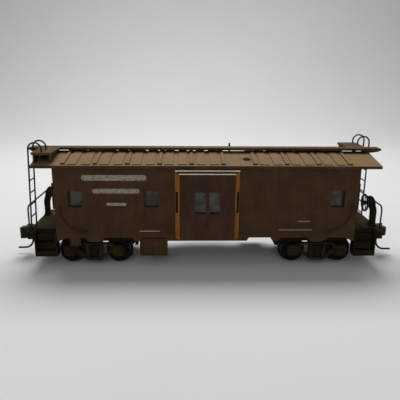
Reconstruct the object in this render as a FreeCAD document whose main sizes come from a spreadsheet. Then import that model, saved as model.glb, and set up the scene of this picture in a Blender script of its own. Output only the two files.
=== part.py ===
"""Model railway caboose with a bay window on each side, HO scale (1:87.1), as an assembly.

Frame: X runs along the car, the front side looks along -Y and +Z is up. The origin is in the
middle of the car at the height of the bottom of the wheel flanges. Turning the car half a
turn about Z puts each end and each side in the place of its opposite one, so most pieces
are drawn once, at the left end or on the front side, and built again with a half turn.
Lengths are in millimetres and come from the sheet named Dimensions.
"""

import FreeCAD, Part
import math
import os
import types
from collections import namedtuple

import Sketcher

# Each dimension: alias, value, meaning. Places along X and Y are measured from the middle.
DIMENSIONS = [
    ("body_end", 59.3, "middle of the car to the outer face of an end wall"),
    ("body_side", 15.4, "middle of the car to the outer face of a side wall"),
    ("body_top", 40.9, "top of the walls, where the roof sits"),
    ("wall", 1.0, "thickness of the body walls"),
    ("corner_round", 0.5, "rounding of the body's upright corners"),
    ("sill_low", 11.5, "bottom of the side skirt"),
    ("sill_high", 12.85, "top of the notches in the side skirt"),
    ("bolster_low", 11.1, "bottom of the skirt's tab over each truck"),
    ("deck_top", 15.4, "top of the end platforms"),
    ("seam_depth", 0.12, "depth of the panel seams"),
    ("seam_width", 0.25, "width of the panel seams"),
    ("seam_first", 27.5, "middle of the car to the inner upright seam"),
    ("seam_second", 42.5, "middle of the car to the outer upright seam"),
    ("seam_level", 14.9, "height of the lengthwise seam"),
    ("window_low", 25.4, "bottom of a side window"),
    ("window_high", 32.0, "top of a side window"),
    ("window_width", 5.3, "width of a side window"),
    ("window_left", 51.1, "left window, towards the left end"),
    ("window_middle", 21.8, "middle window, towards the left end"),
    ("window_right", 51.2, "right window, towards the right end"),
    ("door_side", 3.5, "half width of the moulded end door"),
    ("door_top", 37.8, "top of the moulded end door"),
    ("door_depth", 0.3, "depth of the end door's recess"),
    ("pane_side", 1.7, "half width of the end door's pane"),
    ("pane_low", 28.7, "bottom of the end door's pane"),
    ("pane_high", 34.2, "top of the end door's pane"),
    ("bay_foot", 12.55, "half length of a bay at the wall"),
    ("bay_face", 10.75, "half length of a bay's face"),
    ("bay_out", 17.8, "middle of the car to a bay's face"),
    ("bay_low", 12.55, "bottom of a bay"),
    ("bay_top", 40.25, "top of a bay's upper lip"),
    ("bay_wall", 0.8, "thickness of a bay's walls"),
    ("bay_opening", 11.45, "half length of the opening in the wall"),
    ("bay_opening_low", 13.7, "bottom of the opening in the wall"),
    ("bay_opening_high", 39.2, "top of the opening in the wall"),
    ("bay_play", 0.05, "gap between the bay's plug and the opening"),
    ("bay_pane_x", 2.75, "middle of the bay to the middle of a pane"),
    ("bay_pane_width", 4.1, "width of a bay pane"),
    ("bay_glass_end", 9.9, "half length of the clear channel in a bay"),
    ("bay_pane_low", 23.4, "bottom of a bay pane"),
    ("bay_pane_high", 31.9, "top of a bay pane"),
    ("roof_end", 67.0, "half length of the roof"),
    ("roof_side", 16.5, "half width of the roof"),
    ("roof_eave", 42.0, "top of the roof's fascia"),
    ("roof_ridge", 45.1, "top of the roof"),
    ("roof_hollow_side", 14.3, "half width of the hollow under the roof"),
    ("roof_hollow_eave", 41.3, "hollow's height at its sides"),
    ("roof_hollow_ridge", 43.95, "hollow's height in the middle"),
    ("roof_hollow_end", 58.2, "half length of the middle hollow"),
    ("rib_pitch", 12.22, "distance between the roof ribs"),
    ("rib_width", 1.2, "width of a roof rib"),
    ("rib_height", 0.45, "height of a roof rib"),
    ("rib_side", 15.3, "half width covered by a roof rib, short of the eave"),
    ("rib_foot", 0.6, "rise of the cap at each end of a roof rib"),
    ("band_width", 3.3, "width of a raised band between the ribs"),
    ("band_height", 0.3, "height of a raised band"),
    ("band_first", 1.85, "rib to the near edge of the first band"),
    ("band_second", 7.05, "rib to the near edge of the second band"),
    ("band_side", 15.6, "half width of a raised band"),
    ("flue_x", 15.5, "middle of the car to the flue socket"),
    ("flue_y", 9.2, "middle of the car to the flue socket, across"),
    ("flue_bore", 1.25, "radius of the flue socket"),
    ("flue_collar", 1.6, "outer radius of the flue socket"),
    ("flue_low", 41.6, "bottom of the flue socket"),
    ("flue_top", 43.8, "top of the flue socket"),
    ("vent_x", 10.1, "middle of the car to the vent pipe"),
    ("vent_y", 7.0, "middle of the car to the vent pipe, across"),
    ("vent_radius", 0.4, "radius of the vent pipe"),
    ("vent_top", 47.3, "top of the vent pipe"),
    ("board_end", 71.6, "half length of the running board"),
    ("board_side", 2.5, "half width of the running board"),
    ("board_low", 45.7, "underside of the running board and roof platforms"),
    ("board_top", 46.5, "top of the running board and roof platforms"),
    ("platform_outer", 66.6, "middle of the car to a roof platform's outer end"),
    ("platform_inner", 59.0, "middle of the car to a roof platform's inner end"),
    ("platform_side", 15.0, "middle of the car to a roof platform's far edge"),
    ("wire", 0.31, "radius of the ladder, railing and handrail wire"),
    ("ladder_left_foot", 69.15, "middle of the car to the left ladder's feet"),
    ("ladder_left_head", 67.9, "middle of the car to the left ladder's top, bent inwards"),
    ("ladder_right_foot", 70.35, "middle of the car to the right ladder's feet"),
    ("ladder_right_head", 70.35, "middle of the car to the right ladder's top"),
    ("ladder_rise", 1.2, "running board's top to the bends of a ladder's stiles"),
    ("ladder_side", 13.8, "middle of the car to a ladder's outer stile"),
    ("ladder_inner", 7.8, "middle of the car to a ladder's inner stile"),
    ("ladder_bend", 2.5, "radius of the bend at the top of a ladder"),
    ("rung_first", 16.1, "height of a ladder's lowest rung"),
    ("rung_pitch", 4.85, "distance between rungs"),
    ("railing_left", 69.85, "middle of the car to the left end railing"),
    ("railing_right", 69.65, "middle of the car to the right end railing"),
    ("railing_side", 14.0, "middle of the car to an end railing's post"),
    ("railing_top", 25.4, "top of an end railing"),
    ("railing_bend", 1.8, "radius of the bends of an end railing"),
    ("stand_x", 69.1, "middle of the car to a hand-brake stand"),
    ("stand_y", 7.7, "middle of the car to a hand-brake stand, across"),
    ("stand_top", 27.9, "top of a hand-brake stand"),
    ("stand_half", 1.15, "half width of a hand-brake stand"),
    ("stand_foot", 70.0, "middle of the car to the outer face of a hand-brake stand"),
    ("brake_x", 65.0, "middle of the car to a brake wheel"),
    ("brake_z", 25.2, "height of a brake wheel's stem"),
    ("brake_rim", 3.25, "radius of the middle of a brake wheel's rim"),
    ("brake_wire", 0.42, "radius of a brake wheel's rim section"),
    ("brake_stem", 0.45, "radius of a brake wheel's stem"),
    ("running_gap", 0.05, "radial gap of every turning fit"),
    ("platform_end", 70.5, "middle of the car to the outer face of an end sill"),
    ("deck_side", 11.1, "half width of the deck between the steps"),
    ("deck_plate", 1.0, "thickness of the deck"),
    ("step_inner", 59.4, "middle of the car to the steps' inner plate"),
    ("step_outer", 68.1, "middle of the car to the steps' outer plate"),
    ("step_plate", 0.5, "thickness of the step plates"),
    ("step_low", 4.95, "bottom of the steps"),
    ("tread_high", 13.2, "top of the upper tread"),
    ("tread_high_lip", 2.1, "height of the upper tread's lip"),
    ("tread_high_back", 2.6, "upper tread's lip behind the lowest one"),
    ("tread_middle", 9.8, "top of the middle tread"),
    ("tread_middle_lip", 2.3, "height of the middle tread's lip"),
    ("tread_middle_back", 1.6, "middle tread's lip behind the lowest one"),
    ("tread_low", 6.7, "top of the lowest tread"),
    ("tread_low_lip", 1.75, "height of the lowest tread's lip"),
    ("sill_bottom", 12.3, "bottom of the end sill"),
    ("floor_end", 59.0, "half length of the floor"),
    ("floor_side", 14.3, "half width of the floor"),
    ("floor_low", 12.8, "underside of the floor"),
    ("floor_high", 14.0, "top of the floor"),
    ("centre_sill", 3.0, "half width of the centre sill"),
    ("member_low", 9.0, "bottom of the deep cross members beside the trucks"),
    ("member_inner", 8.0, "car centre to the middle of the inner cross members"),
    ("member_outer", 28.1, "car centre to the middle of the outer cross members"),
    ("member_half", 0.6, "half width of a cross member"),
    ("side_sill_y", 12.0, "centre line to the middle of a side sill"),
    ("side_sill_half", 0.4, "half width of a side sill"),
    ("side_sill_near", 30.0, "middle of the car to a side sill's near end"),
    ("side_sill_far", 57.5, "middle of the car to a side sill's far end"),
    ("side_sill_low", 10.4, "bottom of a side sill"),
    ("centre_sill_low", 11.6, "bottom of the centre sill"),
    ("boss_low", 10.3, "bottom of the bolster bosses"),
    ("boss_radius", 3.4, "radius of the bolster bosses and truck bowls"),
    ("ballast_end", 48.0, "half length of the weight"),
    ("ballast_side", 12.0, "half width of the weight"),
    ("ballast_top", 16.6, "top of the weight"),
    ("glass", 0.5, "thickness of the clear strips"),
    ("battery_outer", 26.65, "battery box, end towards the left end"),
    ("battery_inner", 15.8, "battery box, end towards the middle"),
    ("battery_low", 5.2, "bottom of a battery box"),
    ("battery_shoulder", 11.4, "height where a battery box narrows"),
    ("equipment_outer", 54.1, "equipment box, end towards the left end"),
    ("equipment_inner", 49.95, "equipment box, end towards the middle"),
    ("equipment_low", 9.4, "bottom of an equipment box"),
    ("handrail_outer", 57.2, "middle of the car to a side handrail's upper foot"),
    ("handrail_inner", 47.5, "middle of the car to a side handrail's lower foot"),
    ("handrail_high", 25.25, "height of a side handrail's upper foot"),
    ("handrail_low", 15.55, "height of a side handrail's lower foot"),
    ("handrail_gap", 0.9, "wall to the middle of a handrail's wire"),
    ("grab_low", 24.6, "height of an end grab iron's lower foot"),
    ("grab_high", 34.3, "height of an end grab iron's upper foot"),
    ("grab_gap", 0.65, "end wall to the middle of an end grab iron"),
    ("truck_x", 45.3, "middle of the car to a truck's centre"),
    ("wheelbase", 19.25, "distance between a truck's axles"),
    ("axle_z", 5.5, "height of the axles"),
    ("tread", 4.8, "radius of the wheel treads"),
    ("flange", 5.5, "radius of the wheel flanges"),
    ("wheel_hub", 2.0, "radius of a wheel's hub"),
    ("wheel_rim", 4.2, "inner radius of a wheel's rim"),
    ("wheel_back", 7.2, "middle of the axle to the back of a wheel"),
    ("wheel_front", 9.95, "middle of the axle to the front of a wheel"),
    ("axle_radius", 1.0, "radius of an axle"),
    ("journal_radius", 0.6, "radius of an axle's journals"),
    ("journal_end", 12.05, "middle of the axle to the end of a journal"),
    ("frame_inner", 11.0, "middle of the truck to a side frame's inner face"),
    ("frame_outer", 12.7, "middle of the truck to a side frame's outer face"),
    ("frame_top", 9.5, "top of a side frame"),
    ("frame_bottom", 2.45, "bottom of a side frame"),
    ("spring_window_foot", 1.7, "half width of a side frame's spring window at its bottom"),
    ("spring_window_head", 2.25, "half width of a side frame's spring window at its top"),
    ("frame_rim", 0.35, "height of the raised rims on a side frame"),
    ("journal_box_z", 6.1, "height of the middle of a journal box"),
    ("journal_box_half", 2.0, "half height of a journal box"),
    ("journal_box_out", 13.4, "middle of the truck to a journal box's lid"),
    ("spring_low", 3.7, "bottom of a leaf spring pack"),
    ("spring_leaf", 0.5, "thickness of a spring leaf"),
    ("spring_gap", 0.18, "gap between spring leaves"),
    ("spring_band", 0.7, "half width of the band round a spring pack"),
    ("bolster_half", 2.5, "half width of a truck bolster"),
    ("bolster_low_z", 7.9, "bottom of a truck bolster"),
    ("bolster_high_z", 9.9, "top of a truck bolster"),
    ("bowl_top", 10.25, "top of a truck bolster's bowl"),
    ("kingpin", 1.2, "radius of a kingpin screw's shank"),
    ("kingpin_thread", 1.0, "radius of a kingpin screw's thread"),
    ("kingpin_head", 2.2, "radius of a kingpin screw's head"),
    ("box_inner", 60.2, "middle of the car to a draft gear box's inner end"),
    ("box_outer", 70.2, "middle of the car to a draft gear box's mouth"),
    ("box_side", 3.2, "half width of a draft gear box"),
    ("box_low", 9.2, "bottom of a draft gear box, top of its cover"),
    ("box_high", 12.2, "top of a draft gear box"),
    ("box_wall", 0.7, "thickness of a draft gear box's walls"),
    ("cover", 0.6, "thickness of a draft gear box's cover"),
    ("coupler_z", 10.5, "height of the coupler's centre line"),
    ("swing_x", 62.7, "middle of the car to the coupler's swing axis"),
    ("swing_pin", 0.9, "radius of the coupler's screw"),
    ("swing_head", 1.6, "radius of a coupler screw's head"),
    ("swing_top", 14.0, "height of a coupler screw's top"),
    ("cheek_side", 6.4, "outer face of the cheek beside a draft gear box"),
    ("cheek_low", 9.6, "underside of that cheek"),
    ("shank_side", 0.8, "half width of the coupler's shank"),
    ("shank_half", 0.75, "half height of the coupler's shank"),
    ("head_half", 2.4, "half height of the coupler's head"),
    ("knuckle_half", 1.75, "half height of the knuckle"),
    ("knuckle_x", 74.2, "middle of the car to the knuckle's pin"),
    ("jaw_x", 75.2, "middle of the car to the throat of the coupler"),
    ("knuckle_y", 1.3, "middle of the car to the knuckle's pin, across"),
    ("trip_radius", 0.4, "radius of the trip pin"),
    ("trip_low", 2.5, "height of the trip pin's lowest stretch"),
    ("trip_bend", 3.7, "radius of the trip pin's bend"),
    ("trip_end", 80.7, "middle of the car to the trip pin's tip"),
]

# Sketch planes. On PLAN a sketch has (x, y), on SIDE (x, z) and on END (y, z).
# Offsets run along +Z from PLAN, towards the front (-Y) from SIDE and along +X from END.
PLAN = "XY_Plane"
SIDE = "XZ_Plane"
END = "YZ_Plane"
HALF_TURN = FreeCAD.Placement(FreeCAD.Vector(0, 0, 0), FreeCAD.Rotation(FreeCAD.Vector(0, 0, 1), 180))
VOLUME_TOLERANCE = 1e-6
RIBS = 10
FIRST_RIB = -(RIBS - 1) / 2  # in rib pitches from the middle of the car
SUNK = 0.3  # how far a raised strip starts inside the part that carries it
LEAVES = 5
SPOKES = 5
RUNGS = 6

Circle = namedtuple("Circle", "x y radius")


class Size:
    """A length and the sheet formula it comes from; sums of sizes keep both in step."""

    def __init__(self, value, formula):
        self.value = float(value)
        self.formula = formula

    def __add__(self, other):
        other = as_size(other)
        return Size(self.value + other.value, f"({self.formula} + {other.formula})")

    def __sub__(self, other):
        other = as_size(other)
        return Size(self.value - other.value, f"({self.formula} - {other.formula})")

    def __mul__(self, factor):
        factor = as_size(factor)
        return Size(self.value * factor.value, f"({self.formula} * {factor.formula})")

    def __truediv__(self, divisor):
        divisor = as_size(divisor)
        return Size(self.value / divisor.value, f"({self.formula} / {divisor.formula})")

    def __neg__(self):
        return Size(-self.value, f"(-{self.formula})")

    def __radd__(self, other):
        return as_size(other) + self

    def __rsub__(self, other):
        return as_size(other) - self

    def __rmul__(self, factor):
        return as_size(factor) * self


def as_size(length):
    return length if isinstance(length, Size) else Size(length, f"({float(length):.6f})")


def bind(thing, name, length):
    """Ties a property to the sheet."""
    thing.setExpression(name, as_size(length).formula)


def make_sheet(document):
    """Writes the dimensions into the sheet and returns them as sizes, by alias."""
    table = document.addObject("Spreadsheet::Sheet", "Dimensions")
    for row, (alias, value, meaning) in enumerate(DIMENSIONS, 1):
        table.set(f"A{row}", alias)
        table.set(f"B{row}", str(value))
        table.set(f"C{row}", meaning)
        table.setAlias(f"B{row}", alias)
    document.recompute()
    sizes = {alias: Size(value, f"Dimensions.{alias}") for alias, value, meaning in DIMENSIONS}
    return types.SimpleNamespace(**sizes)


doc = FreeCAD.newDocument("bay_window_caboose")
dim = make_sheet(doc)
built = []


# ---- Drawing and shaping ----------------------------------------------------


def new_body(label, turned=False, several=False):
    """An empty body; turned puts it half a turn round the car, several lets it hold a group."""
    body = doc.addObject("PartDesign::Body", label)
    body.Label = label
    body.AllowCompound = several
    if turned:
        body.Placement = HALF_TURN
    built.append(body)
    return body


def place(body, x, y, z, turned=False):
    """Moves a body that was drawn about its own centre to its place on the car."""
    body.Placement = HALF_TURN if turned else FreeCAD.Placement()
    for axis, length in (("x", x), ("y", y), ("z", z)):
        bind(body, f"Placement.Base.{axis}", length)


def origin_plane(body, role):
    return next(item for item in body.Origin.OriginFeatures if item.Role == role)


def draw(body, role, offset, *outlines):
    """A sketch on an origin plane of the body, offset along its normal, with closed outlines."""
    sketch = body.newObject("Sketcher::SketchObject", "outline")
    sketch.AttachmentSupport = [(origin_plane(body, role), "")]
    sketch.MapMode = "FlatFace"
    bind(sketch, "AttachmentOffset.Base.z", offset)
    for outline in outlines:
        if isinstance(outline, Circle):
            add_circle(sketch, outline)
        else:
            trace(sketch, outline, closed=True)
    return sketch


def add_circle(sketch, circle):
    x, y, radius = (as_size(length) for length in circle)
    centre = FreeCAD.Vector(x.value, y.value, 0)
    index = sketch.addGeometry(Part.Circle(centre, FreeCAD.Vector(0, 0, 1), radius.value), False)
    constrain(
        sketch,
        [
            (("DistanceX", -1, 1, index, 3), x),
            (("DistanceY", -1, 1, index, 3), y),
            (("Radius", index), radius),
        ],
    )


def arc_between(start, stop, radius):
    """The short arc from start to stop, turning left if radius is positive, else right."""
    if radius < 0:
        start, stop = stop, start
    chord = stop - start
    middle = (start + stop) * 0.5
    rise = math.sqrt(max(radius * radius - chord.Length**2 / 4, 0))
    inward = FreeCAD.Vector(-chord.y, chord.x, 0).normalize()
    centre = middle + inward * rise
    first = math.atan2(start.y - centre.y, start.x - centre.x)
    last = math.atan2(stop.y - centre.y, stop.x - centre.x)
    if last < first:
        last += 2 * math.pi
    return Part.ArcOfCircle(Part.Circle(centre, FreeCAD.Vector(0, 0, 1), abs(radius)), first, last)


def trace(sketch, points, closed):
    """Lines and arcs through the points, each point held from the sketch's origin.

    A point is (x, y), or (x, y, radius) where an arc of that radius leads to it.
    """
    points = [tuple(as_size(length) for length in point) for point in points]
    places = [FreeCAD.Vector(point[0].value, point[1].value, 0) for point in points]
    total = len(points)
    legs = total if closed else total - 1
    index = sketch.GeometryCount
    shapes = []
    held = []
    ends = []
    for leg in range(legs):
        following = (leg + 1) % total
        target = points[following]
        if len(target) == 3:
            radius = target[2]
            shapes.append(arc_between(places[leg], places[following], radius.value))
            ends.append((1, 2) if radius.value > 0 else (2, 1))
            held.append((("Radius", index + leg), radius if radius.value > 0 else -radius))
        else:
            shapes.append(Part.LineSegment(places[leg], places[following]))
            ends.append((1, 2))
    sketch.addGeometry(shapes, False)
    for leg in range(legs):
        held.append((("DistanceX", -1, 1, index + leg, ends[leg][0]), points[leg][0]))
        held.append((("DistanceY", -1, 1, index + leg, ends[leg][0]), points[leg][1]))
        following = (leg + 1) % legs
        if closed or following:
            joint = ("Coincident", index + leg, ends[leg][1], index + following, ends[following][0])
            held.append((joint, None))
    if not closed:
        last = index + legs - 1
        held.append((("DistanceX", -1, 1, last, ends[-1][1]), points[-1][0]))
        held.append((("DistanceY", -1, 1, last, ends[-1][1]), points[-1][1]))
    constrain(sketch, held)


def constrain(sketch, held):
    """Adds (constraint, size) pairs and binds each size to the sheet."""
    first = sketch.ConstraintCount
    constraints = []
    for terms, length in held:
        values = terms if length is None else (*terms, length.value)
        constraints.append(Sketcher.Constraint(*values))
    sketch.addConstraint(constraints)
    for number, (terms, length) in enumerate(held, first):
        if length is not None:
            bind(sketch, f"Constraints[{number}]", length)


def extrude(body, kind, name, sketch, length, along):
    feature = body.newObject(kind, name)
    feature.Profile = sketch
    bind(feature, "Length", length)
    feature.SideType = "Symmetric" if along == 0 else "One side"
    return feature


def pad(body, sketch, length, along=1):
    """Adds material along the sketch's normal (1), against it (-1) or half each way (0)."""
    feature = extrude(body, "PartDesign::Pad", "pad", sketch, length, along)
    feature.Reversed = along < 0
    return feature


def cut(body, sketch, length, along=1):
    """Removes material, with the same directions as pad."""
    feature = extrude(body, "PartDesign::Pocket", "cut", sketch, length, along)
    feature.Reversed = along > 0
    return feature


def box(x, y):
    """The corners of a rectangle between two (low, high) pairs."""
    return [(x[0], y[0]), (x[1], y[0]), (x[1], y[1]), (x[0], y[1])]


def block(body, x, y, z, make=pad):
    """A rectangular block between three (low, high) pairs, added or cut."""
    return make(body, draw(body, PLAN, z[0], box(x, y)), z[1] - z[0])


def both(half):
    """The (low, high) pair of a stretch centred on the middle."""
    return (-half, half)


def rod(body, role, x, y, radius, low, high, make=pad):
    """A round rod along a plane's normal, between two offsets from it."""
    return make(body, draw(body, role, low, Circle(x, y, radius)), high - low)


def wire(body, role, offset, path, radius):
    """Round wire swept along a path that leaves its first point upright."""
    spine = draw(body, role, offset)
    trace(spine, path, closed=False)
    across, height = path[0]
    foot = (across, -offset) if role == SIDE else (offset, across)
    profile = draw(body, PLAN, height, Circle(*foot, radius))
    pipe = body.newObject("PartDesign::AdditivePipe", "wire")
    pipe.Profile = profile
    pipe.Spine = (spine, [f"Edge{number}" for number in range(1, len(path))])
    return pipe


def spin(body, sketch, axis):
    """A revolution of the sketch about its own H_Axis or V_Axis."""
    feature = body.newObject("PartDesign::Revolution", "spin")
    feature.Profile = sketch
    feature.ReferenceAxis = (sketch, [axis])
    feature.Angle = 360
    return feature


def mirror(body, features, role):
    """Repeats features on the other side of an origin plane."""
    twin = body.newObject("PartDesign::Mirrored", "mirrored")
    twin.Originals = features
    twin.MirrorPlane = (origin_plane(body, role), [""])
    body.Tip = twin
    return twin


def repeat(body, features, axis, pitch, count):
    """Repeats features along an origin axis."""
    row = body.newObject("PartDesign::LinearPattern", "row")
    row.Originals = features
    row.Direction = (origin_plane(body, axis), [""])
    bind(row, "Length", pitch * (count - 1))
    row.Occurrences = count
    body.Tip = row
    return row


def round_edges(body, radius, chosen):
    """Rounds the edges of the body so far that the test picks."""
    doc.recompute()
    base = body.Tip
    names = [f"Edge{number}" for number, edge in enumerate(base.Shape.Edges, 1) if chosen(edge)]
    fillet = body.newObject("PartDesign::Fillet", "rounding")
    fillet.Base = (base, names)
    bind(fillet, "Radius", radius)
    return fillet


def reflect(outline):
    """The outline's mirror image about x = 0, run backwards so that it turns the same way."""
    backwards = outline[::-1]
    radii = [point[2:] for point in backwards]
    return [(-point[0], point[1], *radius) for point, radius in zip(backwards, radii[-1:] + radii[:-1])]


def flip(outline):
    """The outline's mirror image about y = 0, run backwards so that it turns the same way."""
    return [(-x, -y, *radius) for x, y, *radius in reflect(outline)]


def mirrored_outline(half):
    """Closes a half outline, given from bottom to top at x > 0, with its mirror image."""
    return half + reflect(half)


# ---- Car body -----------------------------------------------------------------


def body_shell():
    """Side and end walls in one piece, open above and below."""
    body = new_body("body_shell")
    low, high = dim.sill_low, dim.sill_high
    skirt = [
        (15.9, low), (16.8, high), (25.3, high), (26.2, low), (28.7, low), (29.6, high),
        (40.0, high), (41.9, dim.bolster_low), (46.1, dim.bolster_low), (48.6, high),
        (55.1, high), (58.0, low), (dim.body_end, low), (dim.body_end, dim.body_top),
    ]
    pad(body, draw(body, SIDE, 0, mirrored_outline(skirt)), dim.body_side * 2, 0)
    inner_end = dim.body_end - dim.wall
    inner_side = dim.body_side - dim.wall
    block(body, both(inner_end), both(inner_side), (as_size(0), dim.body_top + 1), cut)
    under_end_wall = draw(body, END, 0, box(both(inner_side), (as_size(0), dim.deck_top)))
    cut(body, under_end_wall, dim.body_end * 2 + 2, 0)
    round_edges(body, dim.corner_round, is_body_corner)
    bay = box(both(dim.bay_opening), (dim.bay_opening_low, dim.bay_opening_high))
    cut(body, draw(body, SIDE, 0, bay), dim.body_side * 2 + 2, 0)
    middles = [-dim.window_left, -dim.window_middle, dim.window_right]
    for side, middles in ((1, middles), (-1, [-middle for middle in middles])):
        cut(body, draw(body, SIDE, 0, *[window(middle) for middle in middles]), dim.body_side + 1, side)
    seams(body)
    end_doors(body)
    return body


def is_body_corner(edge):
    """True for the four upright outer edges of the body."""
    box_of_edge = edge.BoundBox
    upright = box_of_edge.XLength < 0.01 and box_of_edge.YLength < 0.01
    at_end = abs(abs(box_of_edge.Center.x) - dim.body_end.value) < 0.01
    at_side = abs(abs(box_of_edge.Center.y) - dim.body_side.value) < 0.01
    return upright and at_end and at_side


def window(middle):
    half = dim.window_width / 2
    return box((middle - half, middle + half), (dim.window_low, dim.window_high))


def seams(body):
    """Upright and lengthwise panel seams in both side walls."""
    half = dim.seam_width / 2
    top = dim.body_top - 0.01
    uprights = []
    for middle in (dim.seam_first, dim.seam_second):
        for place_x in (middle, -middle):
            uprights.append(box((place_x - half, place_x + half), (dim.seam_level + half, top)))
    level = box(both(dim.body_end - 1), (dim.seam_level - half, dim.seam_level + half))
    floor_of_seam = dim.body_side - dim.seam_depth
    upright_cut = cut(body, draw(body, SIDE, floor_of_seam, *uprights), 1)
    level_cut = cut(body, draw(body, SIDE, floor_of_seam, level), 1)
    mirror(body, [upright_cut, level_cut], SIDE)


def end_doors(body):
    """A shallow recess and a pane opening in each end wall."""
    recess = box(both(dim.door_side), (dim.deck_top, dim.door_top))
    recess_cut = cut(body, draw(body, END, dim.body_end - dim.door_depth, recess), 1)
    pane = box(both(dim.pane_side), (dim.pane_low, dim.pane_high))
    pane_cut = cut(body, draw(body, END, dim.body_end - 3, pane), 4)
    mirror(body, [recess_cut, pane_cut], END)


def bay_window(label, turned):
    """A box bay with slanted ends, plugged into the side wall."""
    body = new_body(label, turned)
    wall_y, face_y = -dim.body_side, -dim.bay_out
    outer = [(-dim.bay_foot, wall_y), (-dim.bay_face, face_y), (dim.bay_face, face_y), (dim.bay_foot, wall_y)]
    pad(body, draw(body, PLAN, dim.bay_low, outer), dim.bay_top - dim.bay_low)
    plug_end = dim.bay_opening - dim.bay_play
    plug_back = wall_y + dim.wall
    plug_z = (dim.bay_opening_low + dim.bay_play, dim.bay_opening_high - dim.bay_play)
    block(body, both(plug_end), (wall_y, plug_back), plug_z)
    slant = 0.5
    inner_end = plug_end - dim.bay_wall
    inside = [
        (-inner_end, plug_back), (-inner_end, wall_y), (-inner_end + slant, face_y + dim.bay_wall),
        (inner_end - slant, face_y + dim.bay_wall), (inner_end, wall_y), (inner_end, plug_back),
    ]
    ceiling = dim.bay_opening_high - 1.2
    cut(body, draw(body, PLAN, plug_z[0] + dim.bay_wall, inside), ceiling - plug_z[0] - dim.bay_wall)
    lip = -dim.bay_out + 0.45
    gutter = [
        (wall_y - 0.6, dim.bay_top + 1), (face_y - 1, dim.bay_top + 1), (face_y - 1, dim.bay_top - 1.05),
        (lip, dim.bay_top - 1.05), (lip, dim.bay_top - 1.45), (wall_y - 0.6, dim.bay_top - 0.6),
    ]
    cut(body, draw(body, END, 0, gutter), dim.bay_foot * 2 + 2, 0)
    pane_z = (dim.bay_pane_low, dim.bay_pane_high)
    half = dim.bay_pane_width / 2
    panes = [box((x - half, x + half), pane_z) for x in (dim.bay_pane_x, -dim.bay_pane_x)]
    cut(body, draw(body, SIDE, dim.bay_out - dim.bay_wall - 0.3, *panes), 3)
    slot = box((wall_y - 1.5, wall_y - 0.2), pane_z)
    cut(body, draw(body, END, 0, slot), dim.bay_foot * 2 + 2, 0)
    return body


def slope(across, rise=0):
    """Height of the roof's outer surface at a distance from the ridge, plus a rise."""
    fall = (dim.roof_ridge - dim.roof_eave) / dim.roof_side
    return dim.roof_ridge - fall * across + rise


def gable_strip(side, low, high):
    """Outline of a strip that follows both slopes, between two heights from the surface."""
    lower = slope(side, low)
    upper = slope(side, high)
    ridge_low = slope(as_size(0), low)
    ridge_high = slope(as_size(0), high)
    return [(-side, lower), (0, ridge_low), (side, lower), (side, upper), (0, ridge_high), (-side, upper)]


def roof():
    """Peaked roof with ribs, raised bands and the flue socket, hollow underneath."""
    body = new_body("roof")
    side, eave, top = dim.roof_side, dim.roof_eave, dim.body_top
    outer = [(-side, top), (side, top), (side, eave), (0, dim.roof_ridge), (-side, eave)]
    pad(body, draw(body, END, 0, outer), dim.roof_end * 2, 0)
    hollow_side = dim.roof_hollow_side
    hollow = [
        (-hollow_side, top - 1), (hollow_side, top - 1), (hollow_side, dim.roof_hollow_eave),
        (0, dim.roof_hollow_ridge), (-hollow_side, dim.roof_hollow_eave),
    ]
    cut(body, draw(body, END, 0, hollow), dim.roof_hollow_end * 2, 0)
    overhang_low = dim.body_end + dim.wall
    overhang = cut(body, draw(body, END, overhang_low, hollow), dim.roof_end - 0.8 - overhang_low)
    mirror(body, [overhang], END)
    first_rib = FIRST_RIB * dim.rib_pitch
    rib_profile = gable_strip(dim.rib_side, -SUNK, dim.rib_height)
    rib = pad(body, draw(body, END, first_rib - dim.rib_width / 2, rib_profile), dim.rib_width)
    repeat(body, [rib], "X_Axis", dim.rib_pitch, RIBS)
    foot_half = dim.rib_width * 0.75
    foot_x = (first_rib - foot_half, first_rib + foot_half)
    foot_y = (dim.rib_side - 0.7, dim.rib_side)
    foot_z = (eave - 0.2, slope(dim.rib_side, dim.rib_foot))
    feet = [
        block(body, foot_x, foot_y, foot_z),
        block(body, foot_x, (-foot_y[1], -foot_y[0]), foot_z),
    ]
    repeat(body, feet, "X_Axis", dim.rib_pitch, RIBS)
    band_profile = gable_strip(dim.band_side, -SUNK, dim.band_height)
    for first_panel, panels in ((0, 5), (6, 3)):
        for start in (dim.band_first, dim.band_second):
            band_x = first_rib + dim.rib_pitch * first_panel + start
            band = pad(body, draw(body, END, band_x, band_profile), dim.band_width)
            repeat(body, [band], "X_Axis", dim.rib_pitch, panels)
    rod(body, PLAN, dim.flue_x, -dim.flue_y, dim.flue_collar, dim.flue_low, dim.flue_top)
    rod(body, PLAN, dim.flue_x, -dim.flue_y, dim.flue_bore, dim.flue_low - 1, dim.flue_top + 1, cut)
    rod(body, PLAN, dim.vent_x, dim.vent_y, dim.vent_radius, top, dim.roof_ridge, cut)
    return body


def running_board():
    """Walk along the ridge."""
    body = new_body("running_board")
    block(body, both(dim.board_end), both(dim.board_side), (dim.board_low, dim.board_top))
    return body


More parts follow.
